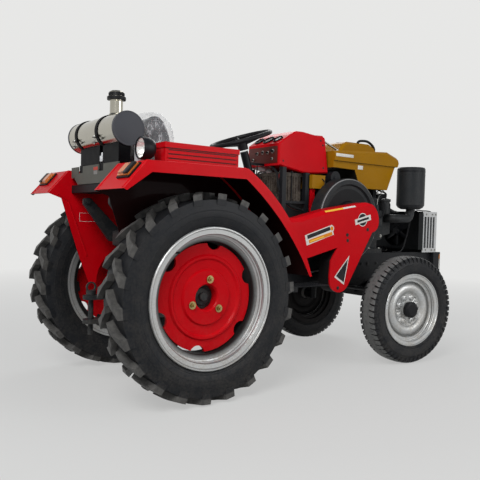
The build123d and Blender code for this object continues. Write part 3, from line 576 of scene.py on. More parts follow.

# Painted light: a pale ring near the flywheel's rim is a painted highlight on its edge, and its dish is
# darkened as painted shade.
wheel_finish, tree = variant(dark_iron, "flywheel_iron_painted_light")
radius = from_axle(tree, at(1.210, 0, 0.885))
highlight_ring = times(tree, rise(tree, radius, 0.2485, 0.2495), rise(tree, radius, 0.2545, 0.2535))
overlay(wheel_finish, highlight_ring, (0.20, 0.20, 0.20), 0.4)
overlay(wheel_finish, rise(tree, radius, 0.196, 0.192), (0.005, 0.005, 0.006), 0.5)

own_finish = {
    "fuel_tank": tank_finish, "rear_plate": plate_finish, "tank_cradle": cradle_black_painted_shade,
    "flywheel": wheel_finish, "radiator": core_finish, "belt_guard": guard_finish,
}
for hand in hands:
    own_finish[f"fender_{hand}"] = arch
    own_finish[f"rear_rim_{hand}"] = rim_finish
    own_finish[f"front_wheel_{hand}"] = front_finish

# Tyres: the tread beyond one radius is paler with dust and a painted highlight, and fine rings are
# moulded round the sidewall.
for pair, centre, top, cover, dust_and_highlight_on_tread, rings in (
    ("rear", rear_wheel["right"], 0.462, 1.2, (0.100, 0.096, 0.089), (0.343, 0.352, 0.381, 0.412)),
    ("front", front_wheel["right"], 0.3255, 2.0, (0.128, 0.129, 0.125), (0.234, 0.241, 0.287)),
):
    rubber, tree = variant(finishes["tyre_rubber"], f"{pair}_tyre_rubber")
    radius = from_axle(tree, centre)
    dust_and_highlight = times(tree, rise(tree, radius, top, top + 0.004), clouds(tree, 40.0, 4.0))
    overlay(rubber, times(tree, dust_and_highlight, cover, clamp=True), dust_and_highlight_on_tread, 0.5)
    height = 0.0
    for ring_radius in rings:
        height = plus(tree, height, ring(tree, radius, ring_radius, 0.0016))
    normal = tree.nodes["Principled BSDF"].inputs["Normal"]
    inputs = {"Height": height, "Distance": 0.0012, "Normal": normal.links[0].from_socket}
    tree.links.new(add(tree, "Bump", inputs).outputs[0], normal)
    for hand in hands:
        own_finish[f"{pair}_tyre_{hand}"] = rubber

slot_names = {entry["node"]: entry["material_slot"] for entry in frame["record"]["subparts"]}
for node, part in frame["nodes"].items():
    part.data.materials.clear()
    part.data.materials.append(own_finish.get(node, finishes[slot_names[node]]))
print(len(frame["nodes"]), "nodes painted, with", len(bpy.data.materials), "materials")

# %% [markdown]
# ## Shapes
# Small helpers draw each new piece into one bmesh in its final place, so that the finished
# object sits at the origin like a CAD node. A turned shape is a half profile spun once round;
# boxes and rods come from the ready-made cube and cone; a pipe is a swept curve.

# %% Helpers for new pieces
def piece(name, shape, material, round_over=35, body="chassis"):
    """Turn a finished bmesh into an object that rides on a body."""
    bmesh.ops.remove_doubles(shape, verts=shape.verts, dist=1e-5)
    bmesh.ops.recalc_face_normals(shape, faces=shape.faces)
    data = bpy.data.meshes.new(name)
    shape.to_mesh(data)
    shape.free()
    data.shade_smooth()
    data.set_sharp_from_angle(angle=radians(round_over))
    data.materials.append(material)
    thing = bpy.data.objects.new(name, data)
    scene.collection.objects.link(thing)
    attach(thing, body)
    return thing


def around(count, first=0.0):
    """Evenly spread angles, once round."""
    return [first + 2 * pi * turn / count for turn in range(count)]


def upright(ahead_of_axle, left, height):
    """A frame that stands up at a point given from the rear axle."""
    return facing(at(ahead_of_axle, left, height), up, ahead)


def turned(frame_matrix, angle=0.0):
    """The turn of a frame, turned further round its own z."""
    return frame_matrix.to_3x3().to_4x4() @ Matrix.Rotation(angle, 4, "Z")


def on_wheel(wheel_frame, radius, angle, out):
    """A point on a wheel: radius and angle round its axis, and a distance along the axis."""
    return wheel_frame @ Vector((radius * cos(angle), radius * sin(angle), out))


def spun(shape, frame_matrix, outline, steps=32):
    """Spin an outline of (radius, height) points once round a frame's z axis."""
    line = [shape.verts.new((radius, 0, height)) for radius, height in outline]
    edges = [shape.edges.new(pair) for pair in zip(line, line[1:])]
    before = set(shape.verts) - set(line)
    bmesh.ops.spin(
        shape, geom=line + edges, cent=(0, 0, 0), axis=(0, 0, 1), angle=2 * pi, steps=steps,
        use_merge=True,
    )
    made = [vert for vert in shape.verts if vert not in before]
    bmesh.ops.transform(shape, matrix=frame_matrix, verts=made)
    bmesh.ops.remove_doubles(shape, verts=made, dist=1e-6)


def soften_edges(shape, edges, offset, segments):
    """Round edges over by a bevel."""
    bmesh.ops.bevel(
        shape, geom=edges, offset=offset, offset_type="OFFSET", segments=segments,
        profile=0.5, affect="EDGES", material=-1,
    )


def box(shape, centre, size, turn=None, soften=0.0, segments=2):
    """Add a box, turned if asked, whose edges may be softened."""
    matrix = Matrix.Translation(centre) @ (turn or Matrix()) @ Matrix.Diagonal((*size, 1))
    made = bmesh.ops.create_cube(shape, size=1, matrix=matrix)["verts"]
    if soften:
        soften_edges(shape, list({edge for vert in made for edge in vert.link_edges}), soften, segments)


def boxes(shape, soften, *rows):
    """Add softened boxes, each given as its place from the rear axle and its size."""
    for spot, size in rows:
        box(shape, at(*spot), size, soften=soften)


def box_piece(name, material, *rows):
    """Make a piece of boxes, each given as its place from the rear axle, size and softening."""
    shape = bmesh.new()
    for spot, size, soften in rows:
        box(shape, at(*spot), size, soften=soften)
    piece(name, shape, material)


def round_piece(name, material, frame_matrix, steps, *outline, **how):
    """Make a piece of one outline, spun round a frame's z axis."""
    shape = bmesh.new()
    spun(shape, frame_matrix, outline, steps)
    piece(name, shape, material, **how)


def rod(shape, start, end, radius, segments=20, tip=None):
    """Add a round bar between two points; it can taper to another radius."""
    matrix = facing((start + end) / 2, end - start, Vector((0.3, 0.5, 0.8)))
    bmesh.ops.create_cone(
        shape, cap_ends=True, segments=segments, radius1=radius,
        radius2=radius if tip is None else tip, depth=(end - start).length, matrix=matrix,
    )


def bolt(shape, point, way, across=0.008, high=0.006, washer=1.5):
    """Add a hexagon head on a washer, standing out from a face."""
    rod(shape, point - way * 0.001, point + way * high * 0.25, across * washer, 20)
    rod(shape, point, point + way * high, across, 6, across * 0.96)


def bolts(shape, way, across, high, spots):
    """Add bolts that face one way, at places given from the rear axle."""
    for spot in spots:
        bolt(shape, at(*spot), way, across, high)


def bolt_ring(shape, wheel_frame, radius, out, count, across, high, first=0.0):
    """Add bolts in a ring round a wheel's axis, facing along it."""
    way = wheel_frame.to_3x3() @ up
    for angle in around(count, first):
        bolt(shape, on_wheel(wheel_frame, radius, angle, out), way, across, high)


bend = 0.35  # how far a curve's handle reaches along each span of a pipe


def pipe(name, material, radius, *stops):
    """Sweep a round pipe through places given from the rear axle, with smooth bends."""
    points = [at(*stop) for stop in stops]
    line = bpy.data.curves.new(name, "CURVE")
    line.dimensions = "3D"
    line.bevel_depth = radius
    line.bevel_resolution = 3
    line.resolution_u = 8
    line.use_fill_caps = True
    route = line.splines.new("BEZIER")
    route.bezier_points.add(len(points) - 1)
    for i, (stop, point) in enumerate(zip(route.bezier_points, points)):
        before, after = points[max(i - 1, 0)], points[min(i + 1, len(points) - 1)]
        slope = (after - before).normalized()
        stop.co = point
        stop.handle_left = point - slope * (point - before).length * bend
        stop.handle_right = point + slope * (after - point).length * bend
    sweep = bpy.data.objects.new(name, line)
    scene.collection.objects.link(sweep)
    shape = bmesh.new()
    shape.from_mesh(sweep.to_mesh())
    bpy.data.objects.remove(sweep)
    return piece(name, shape, material)


print("helpers ready; a pipe's handles reach", bend, "of the span on each side")

# %% [markdown]
# ## Front tyres
# A front tyre here has a road pattern: a plain band round the middle, and on both shoulders
# a row of wide blocks with short cuts between them. The carcass and its band are one outline,
# spun once for each half. Each block is a cube cut into slices, whose vertices are then bent
# onto the tyre's crown.

# %% Front tyres with their tread
tyre_radius = 0.335
tread_depth = 0.010
block_root = 1.6 * tread_depth  # a block starts this far under the crown, inside the carcass
block_top = 0.0004  # and its top stays this far under the crown
shoulder_start, shoulder_width, shoulder_drop = 0.05, 0.014, 0.010
pitches = 55
parked_steer = radians(-7)  # the front wheels stand turned a little to the right
carcass = (
    (0.226, 0.051), (0.238, 0.058), (0.242, 0.062), (0.262, 0.067), (0.284, 0.068),
    (0.289, 0.0655), (0.300, 0.065), (0.312, 0.060), (0.3205, 0.050), (0.3225, 0.0262),
    (0.3330, 0.0252), (0.3344, 0.0150), (0.3348, 0.0),
)
# Rows of blocks: middle across the tyre, width, length in pitches, slant, phase. Positive is
# outboard. The inboard row is narrower, so that it clears the drag link at full lock.
tread_rows = (
    (0.0420, 0.038, 0.73, 0.22, 0.0), (-0.0380, 0.030, 0.73, -0.22, 0.5),
    (0.0630, 0.010, 0.45, 0.10, 0.2),
)


def crown(across):
    """The tyre's outer radius at a distance from its middle."""
    shoulder = max(0, (abs(across) - shoulder_start) / shoulder_width)
    return tyre_radius - 0.0035 * (across / 0.05) ** 2 - shoulder_drop * shoulder ** 2


# One block serves for all: a cube cut in three across and along, so that it can bend.
block = bmesh.new()
bmesh.ops.create_cube(block, size=1)
for way in (2, 0):
    long_edges = [e for e in block.edges if abs((e.verts[0].co - e.verts[1].co)[way]) > 0.9]
    bmesh.ops.subdivide_edges(block, edges=long_edges, cuts=2, use_grid_fill=True)
block_data = bpy.data.meshes.new("tread_block")
block.to_mesh(block_data)
block.free()


def front_tread(shape, hub):
    """Add every tread block of one tyre, in the frame of its hub."""
    pitch = 2 * pi / pitches
    for across, width, length, slant, phase in tread_rows:
        for count in range(pitches):
            first = len(shape.verts)
            shape.from_mesh(block_data)
            shape.verts.ensure_lookup_table()
            for vert in shape.verts[first:]:
                aside = across + vert.co.z * width
                angle = pitch * (count + phase + vert.co.x * length + slant * vert.co.z)
                radius = crown(aside) - (block_top if vert.co.y > 0 else block_root)
                vert.co = on_wheel(hub, radius, angle, aside)


for hand, side in hands.items():
    outboard = Vector((-sin(parked_steer), cos(parked_steer), 0)) * side
    hub = facing(front_wheel[hand], outboard)
    tyre = bmesh.new()
    front_tread(tyre, hub)
    for way in (1, -1):
        spun(tyre, hub, [(radius, way * across) for radius, across in carcass], 96)
    spun(tyre, hub, ((0.226, 0.051), (0.2035, 0.049), (0.2035, -0.049), (0.226, -0.051)), 96)
    body = f"front_wheel_{hand}"
    made = piece(f"front_tread_{hand}", tyre, own_finish[f"front_tyre_{hand}"], 28, body)
    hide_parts(f"front_tyre_{hand}")
    print(made.name, len(made.data.polygons), "faces")

# %% [markdown]
# ## Seat
# The seat's cover is a stuffed cushion and a backrest. It still wears the clear film that it
# was delivered in, which hangs in crumpled folds. The film is the seat's own outline, drawn a
# little larger and ruffled by noise along its normals. It stays one thin closed skin.

# %% Seat and film
seat_outline = (
    (-0.120, 1.120), (-0.165, 1.345), (-0.140, 1.392), (-0.080, 1.392), (-0.042, 1.352),
    (-0.015, 1.290), (0.005, 1.205), (0.330, 1.190), (0.352, 1.160), (0.340, 1.120),
)
seat_half = 0.195


def seat_form(shape, grow, cuts, soften):
    """Add the seat's outline, rounded over, cut finely, and grown along its own normals."""
    corners = [shape.verts.new(at(x, -seat_half, height)) for x, height in seat_outline]
    face = shape.faces.new(corners)
    pulled = bmesh.ops.extrude_face_region(shape, geom=[face])["geom"]
    moved = [item for item in pulled if isinstance(item, bmesh.types.BMVert)]
    bmesh.ops.translate(shape, vec=(0, 2 * seat_half, 0), verts=moved)
    bmesh.ops.recalc_face_normals(shape, faces=shape.faces)
    soften_edges(shape, shape.edges[:], soften, 3)
    bmesh.ops.triangulate(shape, faces=[face for face in shape.faces if len(face.verts) > 4])
    bmesh.ops.subdivide_edges(
        shape, edges=[e for e in shape.edges if e.calc_length() > 0.03], cuts=cuts,
        use_grid_fill=True,
    )
    shape.normal_update()
    for vert, way in [(vert, vert.normal.copy()) for vert in shape.verts]:
        vert.co += way * grow


seat_shape = bmesh.new()
seat_form(seat_shape, -0.012, 2, 0.020)
seat = piece("seat_cushion", seat_shape, finishes["seat_cover"], 60)
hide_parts("seat")
print("seat's starting form has", len(seat.data.polygons), "faces")

# %% [markdown]
# A real cushion is a tight cover over springy stuffing. So the form is remeshed evenly, made
# cloth, and blown up from inside for twenty frames with no gravity. A cap keeps each point
# near its start, and the underside is pinned because it rests on a steel pan. The sewn
# channels are pressed in afterwards, where the stitching holds the cover down.

# %% Swell the cushion as cloth
def settled_mesh(thing):
    """The mesh of an object as its modifiers leave it now."""
    graph = bpy.context.evaluated_depsgraph_get()
    return bpy.data.meshes.new_from_object(thing.evaluated_get(graph))


pan_height = 1.128  # below this, the cover rests on its steel pan


def swell(thing, voxel, farthest, pressure=4.0, frames=20):
    """Remesh a closed form, blow it up as cloth, and keep the capped result."""
    grid = thing.modifiers.new("grid", "REMESH")
    grid.mode = "VOXEL"
    grid.voxel_size = voxel
    even = settled_mesh(thing)
    thing.modifiers.clear()
    thing.data = even
    start = [vert.co.copy() for vert in even.vertices]
    pan = thing.vertex_groups.new(name="pan")
    pan.add([i for i, co in enumerate(start) if co.z < pan_height], 1.0, "REPLACE")
    cover = thing.modifiers.new("cover", "CLOTH")
    cover.settings.use_pressure = True
    cover.settings.uniform_pressure_force = pressure
    cover.settings.effector_weights.gravity = 0
    cover.settings.vertex_group_mass = "pan"
    for frame_number in range(1, frames + 1):
        scene.frame_set(frame_number)
    blown = settled_mesh(thing)
    thing.modifiers.clear()
    thing.vertex_groups.clear()
    scene.frame_set(1)
    for vert, first, last in zip(even.vertices, start, [vert.co.copy() for vert in blown.vertices]):
        move = last - first
        vert.co = first + move * min(1, farthest / max(move.length, 1e-6))
    bpy.data.meshes.remove(blown)
    return max((vert.co - first).length for vert, first in zip(even.vertices, start))


print("the cover swells by up to", round(swell(seat, 0.0065, 0.012), 4), "m")
seat.data.shade_smooth()
stuffing_middle, channel_depth, channel_half = at(0.09, 0, 1.22), 0.0045, 0.010
for vert in seat.data.vertices:
    # Two channels run over the back and the cushion; a third crosses each.
    off = min(abs(abs(vert.co.y) - 0.090), abs(vert.co.x - axle_x - 0.170), abs(vert.co.z - 1.300))
    pressed = channel_depth * max(0, 1 - off / channel_half) ** 0.7
    if vert.co.z > 1.14:
        vert.co += (stuffing_middle - vert.co).normalized() * pressed
smoother = seat.modifiers.new("smoother", "SUBSURF")
smoother.levels = smoother.render_levels = 1
print("seat", len(seat.data.polygons), "faces before smoothing")

film_shape = bmesh.new()
seat_form(film_shape, 0.002, 5, 0.02)
film_shape.normal_update()
for vert, way in [(vert, vert.normal.copy()) for vert in film_shape.verts]:
    # Broad folds first, then sharp creases; both fade where the film is tucked under the seat.
    fold = noise.noise(vert.co * 9)
    crease = abs(noise.noise(vert.co * 26 + Vector((3, 7, 1))))
    loose = min(1, max(0, (vert.co.z - 1.10) / 0.05))
    push = max(-0.001, 0.009 + 0.016 * fold - 0.018 * crease) * loose
    vert.co += way * push
low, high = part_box("seat")
slack = 0.009  # how far the film may stand off the seat's own box
for vert in film_shape.verts:
    for axis in range(3):
        vert.co[axis] = min(max(vert.co[axis], low[axis] - slack), high[axis] + slack)
film = piece("seat_film", film_shape, film_clear, 12)
print("film", len(film.data.polygons), "faces")

# %% [markdown]
# ## Wheel hubs and fasteners
# A rear disc bolts to the axle's flange, which shows as a dark hub at the bottom of the bore,
# with three plated bolts round it. A front wheel has a pressed grease cap. Bolts are hexagon
# heads on washers, and a ring of them is one call.

# %% Hubs, wheel bolts and valves
bolt_start = radians(9)  # where the first of a rear wheel's three bolts stands
valve_angle = 0.7
for hand, side in hands.items():
    body = f"rear_wheel_{hand}"
    rear = facing(rear_wheel[hand], leftward * side)
    hub = bmesh.new()
    spun(hub, rear, (
        (0, 0.012), (0.018, 0.012), (0.021, 0.009), (0.021, -0.004), (0.040, -0.006),
        (0.044, -0.012), (0.059, -0.0135), (0.059, -0.0205), (0, -0.0205),
    ), 40)
    bolt_ring(hub, rear, 0.050, -0.0135, 6, 0.0055, 0.005)
    piece(f"rear_hub_{hand}", hub, dark_iron, body=body)
    plated = bmesh.new()
    bolt_ring(plated, rear, 0.087, 0.038, 3, 0.0125, 0.010, bolt_start * side)
    for angle in around(3, bolt_start * side):
        stud = on_wheel(rear, 0.087, angle, 0.046)
        rod(plated, stud, stud + leftward * side * 0.012, 0.0065, 16, 0.0055)
    piece(f"rear_wheel_bolts_{hand}", plated, zinc, body=body)
    valve = bmesh.new()
    foot, neck, tip = (
        on_wheel(rear, radius, valve_angle, out)
        for radius, out in ((0.281, 0.040), (0.283, 0.072), (0.284, 0.082))
    )
    rod(valve, foot, neck, 0.0045)
    rod(valve, neck, tip, 0.0055, 12)
    piece(f"rear_valve_{hand}", valve, hose_rubber, body=body)

    body = f"front_wheel_{hand}"
    outboard = Vector((-sin(parked_steer), cos(parked_steer), 0)) * side
    front = facing(front_wheel[hand], outboard)
    cap = bmesh.new()
    spun(cap, front, (
        (0.047, 0.018), (0.050, 0.030), (0.050, 0.050), (0.046, 0.054), (0.036, 0.056),
        (0.033, 0.0585), (0.010, 0.0590), (0, 0.0590),
    ), 40)
    bolt_ring(cap, front, 0.0415, 0.0545, 4, 0.003, 0.002)
    piece(f"hub_cap_{hand}", cap, black_rubber, body=body)
    bosses = bmesh.new()
    for angle in around(8, pi / 8):
        spun(bosses, facing(on_wheel(front, 0.077, angle, 0.012), outboard), (
            (0.0205, -0.001), (0.0180, 0.0055), (0.0115, 0.0095), (0.0065, 0.0100),
            (0.0055, 0.0060), (0, 0.0060),
        ), 20)
    piece(f"hub_bosses_{hand}", bosses, silver_paint, 60, body)
    weight = bmesh.new()
    for turn in (-1.45, -1.35, -1.25):
        spot = on_wheel(front, 0.2225, turn * side, 0.0605)
        box(weight, spot, (0.006, 0.021, 0.004), turned(front, turn * side), 0.0015)
    piece(f"balance_weight_{hand}", weight, pale_metal, body=body)
print("hubs, caps, bolts and valves on four wheels")

# %% [markdown]
# ## Rear tank
# The long tank behind the seat is bright rolled steel with darker pressed ends. Two flat bands
# hold it to black blocks, each drawn tight by a small bolt through two folded ears. A filler
# cap has a knurled edge, which here is a ring of small ribs.

# %% Tank ends, bands and cap
tank_axis = at(-0.306, 0, 1.283)
for hand, side in hands.items():
    end = facing(tank_axis + leftward * side * 0.277, leftward * side)
    round_piece(
        f"tank_end_{hand}", slate, end, 64, (0.0805, -0.012), (0.0815, -0.010),
        (0.0815, 0.0005), (0.0795, 0.0018), (0.0775, 0.0014), (0.074, 0.0006),
        (0.070, 0.0012), (0, 0.0015),
    )
bands, clamps = bmesh.new(), bmesh.new()
for left in (-0.090, 0.165):
    ear = tank_axis + Vector((-0.076, left, -0.046))
    for lift in (-0.012, 0.012):
        box(bands, ear + Vector((-0.010, 0, lift)), (0.022, 0.024, 0.003), soften=0.001)
    hole = ear - ahead * 0.012
    rod(clamps, hole - up * 0.022, hole + up * 0.024, 0.0035, 12)
    bolt(clamps, hole + up * 0.0135, up, 0.0065, 0.006)
    bolt(clamps, hole - up * 0.0135, -up, 0.0065, 0.005)
piece("band_ears", bands, black_paint)
piece("band_bolts", clamps, bright)

neck_top = upright(-0.306, -0.140, 1.433)
cap = bmesh.new()
spun(cap, neck_top, (
    (0.031, -0.002), (0.0448, -0.001), (0.0455, 0.004), (0.0455, 0.013), (0.0375, 0.0165),
    (0.0365, 0.034), (0.034, 0.038), (0.024, 0.0415), (0, 0.042),
), 48)
for angle in around(28):
    knurl = on_wheel(neck_top, 0.0372, angle, 0.0245)
    box(cap, knurl, (0.003, 0.0035, 0.016), turned(neck_top, angle), 0.0008, 1)
piece("filler_cap", cap, black_rubber)
round_piece(
    "neck_collar", polished_steel, upright(-0.306, -0.140, 1.283), 40, (0.034, 0.072),
    (0.038, 0.0745), (0.036, 0.079), (0.0315, 0.083), (0.0312, 0.142), (0.0335, 0.145),
    (0.0335, 0.149),
)
box_piece(
    "tank_tap", pale_metal, ((-0.345, -0.078, 1.150), (0.022, 0.026, 0.030), 0.004),
    ((-0.345, -0.078, 1.172), (0.012, 0.014, 0.018), 0.003),
)
box_piece(
    "lamp_relay", pale_metal, ((-0.262, -0.300, 1.165), (0.030, 0.040, 0.085), 0.004),
    ((-0.262, -0.300, 1.118), (0.050, 0.055, 0.010), 0.002),
)
tank_low, tank_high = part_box("rear_tank")
print("ends, bands, cap and tap on a tank", round((tank_high - tank_low).y, 3), "m long")

# %% [markdown]
# ## Lamps
# A work lamp is a deep black shell with a bright dish and a clear glass in front; the
# headlamps are shallower. Each glass is a shallow dome of its own, with flutes in its normal.

# %% Lamp dishes, glasses and shells
def lamp_front(name, front, radius, deep, bezel_finish):
    """Add a dish, a bezel and a fluted glass at a lamp's front, in its own frame."""
    def scaled(*outline):
        """An outline whose radii are given as shares of the lamp's radius."""
        return [(radius * share, height) for share, height in outline]

    dish, bezel, glass = bmesh.new(), bmesh.new(), bmesh.new()
    spun(dish, front, scaled(
        (0.90, 0.001), (0.80, -deep * 0.35), (0.55, -deep * 0.75), (0.2, -deep), (0, -deep)
    ), 48)
    bulb_foot, bulb_tip = (front @ Vector((0, 0, -deep * share)) for share in (1, 0.35))
    rod(dish, bulb_foot, bulb_tip, radius * 0.13, 16, radius * 0.10)
    piece(f"{name}_dish", dish, mirror_finish, 50)
    spun(bezel, front, scaled(
        (0.88, -0.001), (0.89, 0.0055), (0.94, 0.0075), (1.0, 0.005), (1.01, -0.003), (0.99, -0.008)
    ), 56)
    piece(f"{name}_bezel", bezel, bezel_finish)
    spun(glass, front, scaled((0.90, 0.0025), (0.7, 0.0055), (0.4, 0.0078), (0, 0.0085)), 48)
    wall = piece(f"{name}_glass", glass, lamp_glass, 60).modifiers.new("wall", "SOLIDIFY")
    wall.thickness = 0.002


back_lamp = facing(at(-0.3035, -0.400, 1.181), -ahead)
shell = bmesh.new()
spun(shell, back_lamp, (
    (0.046, 0.0), (0.051, 0.0005), (0.052, -0.0095), (0.050, -0.0375), (0.042, -0.0555),
    (0.026, -0.0655), (0, -0.0675),
), 64)
boxes(shell, 0.002, ((-0.271, -0.400, 1.1245), (0.018, 0.024, 0.029)))
shell = piece("work_lamp_shell", shell, black_paint)
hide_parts("work_lamp")
lamp_front("work_lamp", back_lamp, 0.051, 0.045, black_paint)
shell = bmesh.new()
boxes(shell, 0.001, ((2.2155, 0, 0.801), (0.007, 0.340, 0.022)))
for hand, side in hands.items():
    front_lamp = facing(at(2.2505, 0.105 * side, 0.800), ahead)
    lamp_front(f"headlamp_{hand}", front_lamp, 0.059, 0.028, bright)
    spun(shell, front_lamp, (
        (0.053, 0.0), (0.060, 0.0005), (0.060, -0.004), (0.058, -0.0125), (0.044, -0.0325),
        (0, -0.0325),
    ), 64)
shell = piece("headlamp_shells", shell, black_paint)
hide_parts("headlamps")
print("three round lamps, in hollow shells")

# %% [markdown]
# ## Console, battery and wiring
# The console carries three round gauges on its slope and a key switch on a brown plate that
# faces the driver. Under it sits the battery, whose leads and loom run forward to the engine.
# Each lead is one soft curve between two real terminals.

# %% Gauges, switches and wires
slope_start, slope_end = at(0.727, 0, 1.328), at(0.812, 0, 1.387)
slope_way = (slope_end - slope_start).normalized()
slope_out = leftward.cross(-slope_way)
rims, faces, marks = bmesh.new(), bmesh.new(), bmesh.new()
for left, radius in ((-0.088, 0.029), (0.0, 0.035), (0.088, 0.029)):
    centre = slope_start.lerp(slope_end, 0.5) + leftward * left + slope_out * 0.0005
    dial = facing(centre, slope_out, slope_way)
    spun(rims, dial, [(radius * share, height) for share, height in (
        (1.12, 0), (1.12, 0.005), (1.02, 0.008), (0.93, 0.006), (0.92, 0.002)
    )], 40)
    spun(faces, dial, ((radius * 0.93, 0.0025), (0, 0.0025)), 40)
    for tick in range(9):
        angle = radians(-130 + tick * 32.5)
        mark = on_wheel(dial, radius * 0.76, angle, 0.0029)
        box(marks, mark, (radius * 0.16, 0.0012, 0.0006), turned(dial, angle))
    needle = radians(-70 + 300 * left)
    middle_of_needle = on_wheel(dial, radius * 0.3, needle, 0.0034)
    box(marks, middle_of_needle, (radius * 0.72, 0.0016, 0.0008), turned(dial, needle))
piece("gauge_rims", rims, black_rubber)
piece("gauge_faces", faces, dial_black)
piece("gauge_marks", marks, pale_metal)

box_piece("switch_plate", brown_plate, ((0.7262, 0, 1.262), (0.003, 0.270, 0.100), 0.001))
switches, knobs = bmesh.new(), bmesh.new()
for left, height, radius, proud in (
    (-0.095, 1.282, 0.013, 0.012), (-0.050, 1.276, 0.010, 0.016), (0.0, 1.280, 0.012, 0.010),
    (0.050, 1.276, 0.010, 0.016), (-0.088, 1.238, 0.009, 0.010), (0.092, 1.240, 0.009, 0.010),
):
    switch = facing(at(0.7250, left, height), -ahead)
    spun(switches, switch, ((radius, 0), (radius, 0.003), (radius * 0.7, 0.005), (0, 0.005)), 24)
    spun(knobs, switch, (
        (radius * 0.55, 0.004), (radius * 0.6, proud), (radius * 0.4, proud + 0.002),
        (0, proud + 0.002),
    ), 20)
boxes(knobs, 0.0012, ((0.708, -0.095, 1.286), (0.014, 0.003, 0.018)))
piece("switch_collars", switches, bright)
piece("switch_knobs", knobs, black_rubber)

console_bolts = bmesh.new()
for side in (1, -1):
    bolts(console_bolts, leftward * side, 0.0040, 0.003, [
        (x, 0.150 * side, z)
        for x, z in ((1.062, 1.372), (1.082, 1.345), (0.760, 1.225), (1.090, 1.205))
    ])
piece("console_bolts", console_bolts, dark_iron)

terminals, strap = bmesh.new(), bmesh.new()
for left in (-0.095, 0.080):
    rod(terminals, at(0.800, left, 1.158), at(0.800, left, 1.176), 0.008, 16, 0.007)
    boxes(terminals, 0.002, ((0.800, left, 1.168), (0.030, 0.020, 0.010)))
    bolt(terminals, at(0.812, left, 1.173), up, 0.005, 0.004)
piece("battery_terminals", terminals, pale_metal)
boxes(strap, 0.001, ((0.845, -0.008, 1.1625), (0.026, 0.256, 0.003)))
for left in (-0.1345, 0.1185):
    rod(strap, at(0.845, left, 1.163), at(0.845, left, 0.985), 0.0035, 10)
    bolt(strap, at(0.845, left, 1.164), up, 0.006, 0.006)
piece("battery_strap", strap, black_paint)
pipe(
    "red_lead", red_wire, 0.0055, (0.800, -0.095, 1.172), (0.770, -0.120, 1.170),
    (0.752, -0.128, 1.120), (0.756, -0.130, 1.040), (0.800, -0.140, 0.970),
    (0.930, -0.135, 0.935), (1.060, -0.120, 0.930),
)
pipe(
    "earth_lead", hose_rubber, 0.0055, (0.800, 0.080, 1.172), (0.772, 0.095, 1.165),
    (0.752, 0.105, 1.10), (0.748, 0.110, 1.00), (0.730, 0.100, 0.86), (0.720, 0.080, 0.829),
)
pipe(
    "loom_right", hose_rubber, 0.0085, (0.740, -0.060, 1.205), (0.748, -0.110, 1.150),
    (0.744, -0.138, 1.060), (0.790, -0.148, 0.980), (0.900, -0.150, 0.940),
    (1.050, -0.130, 0.900),
)
pipe(
    "loom_front", hose_rubber, 0.007, (0.960, -0.100, 1.168), (0.985, -0.122, 1.120),
    (0.968, -0.128, 1.050), (0.990, -0.125, 0.960), (1.060, -0.110, 0.920),
)
pipe(
    "fuel_line", hose_rubber, 0.005, (0.985, -0.120, 1.073), (0.975, -0.132, 1.030),
    (0.995, -0.134, 0.985), (1.060, -0.120, 0.975),
)
pipe(
    "steering_wire", hose_rubber, 0.004, (0.700, 0.020, 1.205), (0.716, 0.046, 1.120),
    (0.726, 0.050, 1.000), (0.735, 0.040, 0.829),
)
ties = bmesh.new()
for x, left, z in ((0.747, -0.126, 1.10), (0.748, -0.131, 1.03), (0.930, -0.146, 0.9365)):
    rod(ties, at(x - 0.001, left, z - 0.0025), at(x + 0.001, left, z + 0.0025), 0.0125, 18)
piece("loom_ties", ties, black_rubber)
print("three gauges, six switches, a battery and six leads")

# %% [markdown]
# ## Fuel tank and hood
# The ochre tank's lid closes on a seam over its tub. A plain white label and a small sticker
# are thin blank plates, a fuel filler sits on the dome, and a grey rod ties the console to
# the hood.

# %% Tank fittings
box_piece("tank_seam", black_rubber, ((1.4485, 0, 1.2585), (0.610, 0.382, 0.007), 0.001))
box_piece(
    "blank_labels", white_label, ((1.229, -0.2003, 1.2920), (0.158, 0.0012, 0.019), 0.0004),
    ((1.388, -0.1885, 1.228), (0.048, 0.0012, 0.025), 0.0004),
)
round_piece(
    "fuel_cap", black_rubber, upright(1.440, 0.045, 1.400), 40, (0.036, -0.004),
    (0.036, 0.003), (0.041, 0.004), (0.041, 0.010), (0.037, 0.012), (0.012, 0.0135),
    (0, 0.0135),
)
pipe(
    "dome_handle", hose_rubber, 0.0085, (1.452, -0.096, 1.394), (1.464, -0.096, 1.411),
    (1.498, -0.098, 1.419), (1.548, -0.100, 1.418), (1.590, -0.100, 1.401),
    (1.613, -0.100, 1.380), (1.620, -0.098, 1.360),
)
tie = bmesh.new()
rod(tie, at(1.096, -0.105, 1.392), at(1.255, -0.105, 1.336), 0.0065, 16)
for x, z in ((1.100, 1.3915), (1.252, 1.338)):
    boxes(tie, 0.002, ((x, -0.105, z - 0.006), (0.022, 0.018, 0.014)))
piece("hood_tie", tie, bright)
rivets = bmesh.new()
for side in (-1, 1):
    for x in (1.170, 1.330, 1.490, 1.650):
        rod(rivets, at(x, 0.197 * side, 1.262), at(x, 0.1995 * side, 1.262), 0.0065, 16)
piece("tank_rivets", rivets, black_paint)
print("tank seam, labels, cap, handle and tie")

# %% [markdown]
# ## Engine
# The single-cylinder diesel is open to view. Its block has covers held by rings of bolts, an
# injection pump with one steel line to the injector, a breather, and hoses to the radiator.
# Shapes that repeat, such as nuts along a flange, come from short loops.

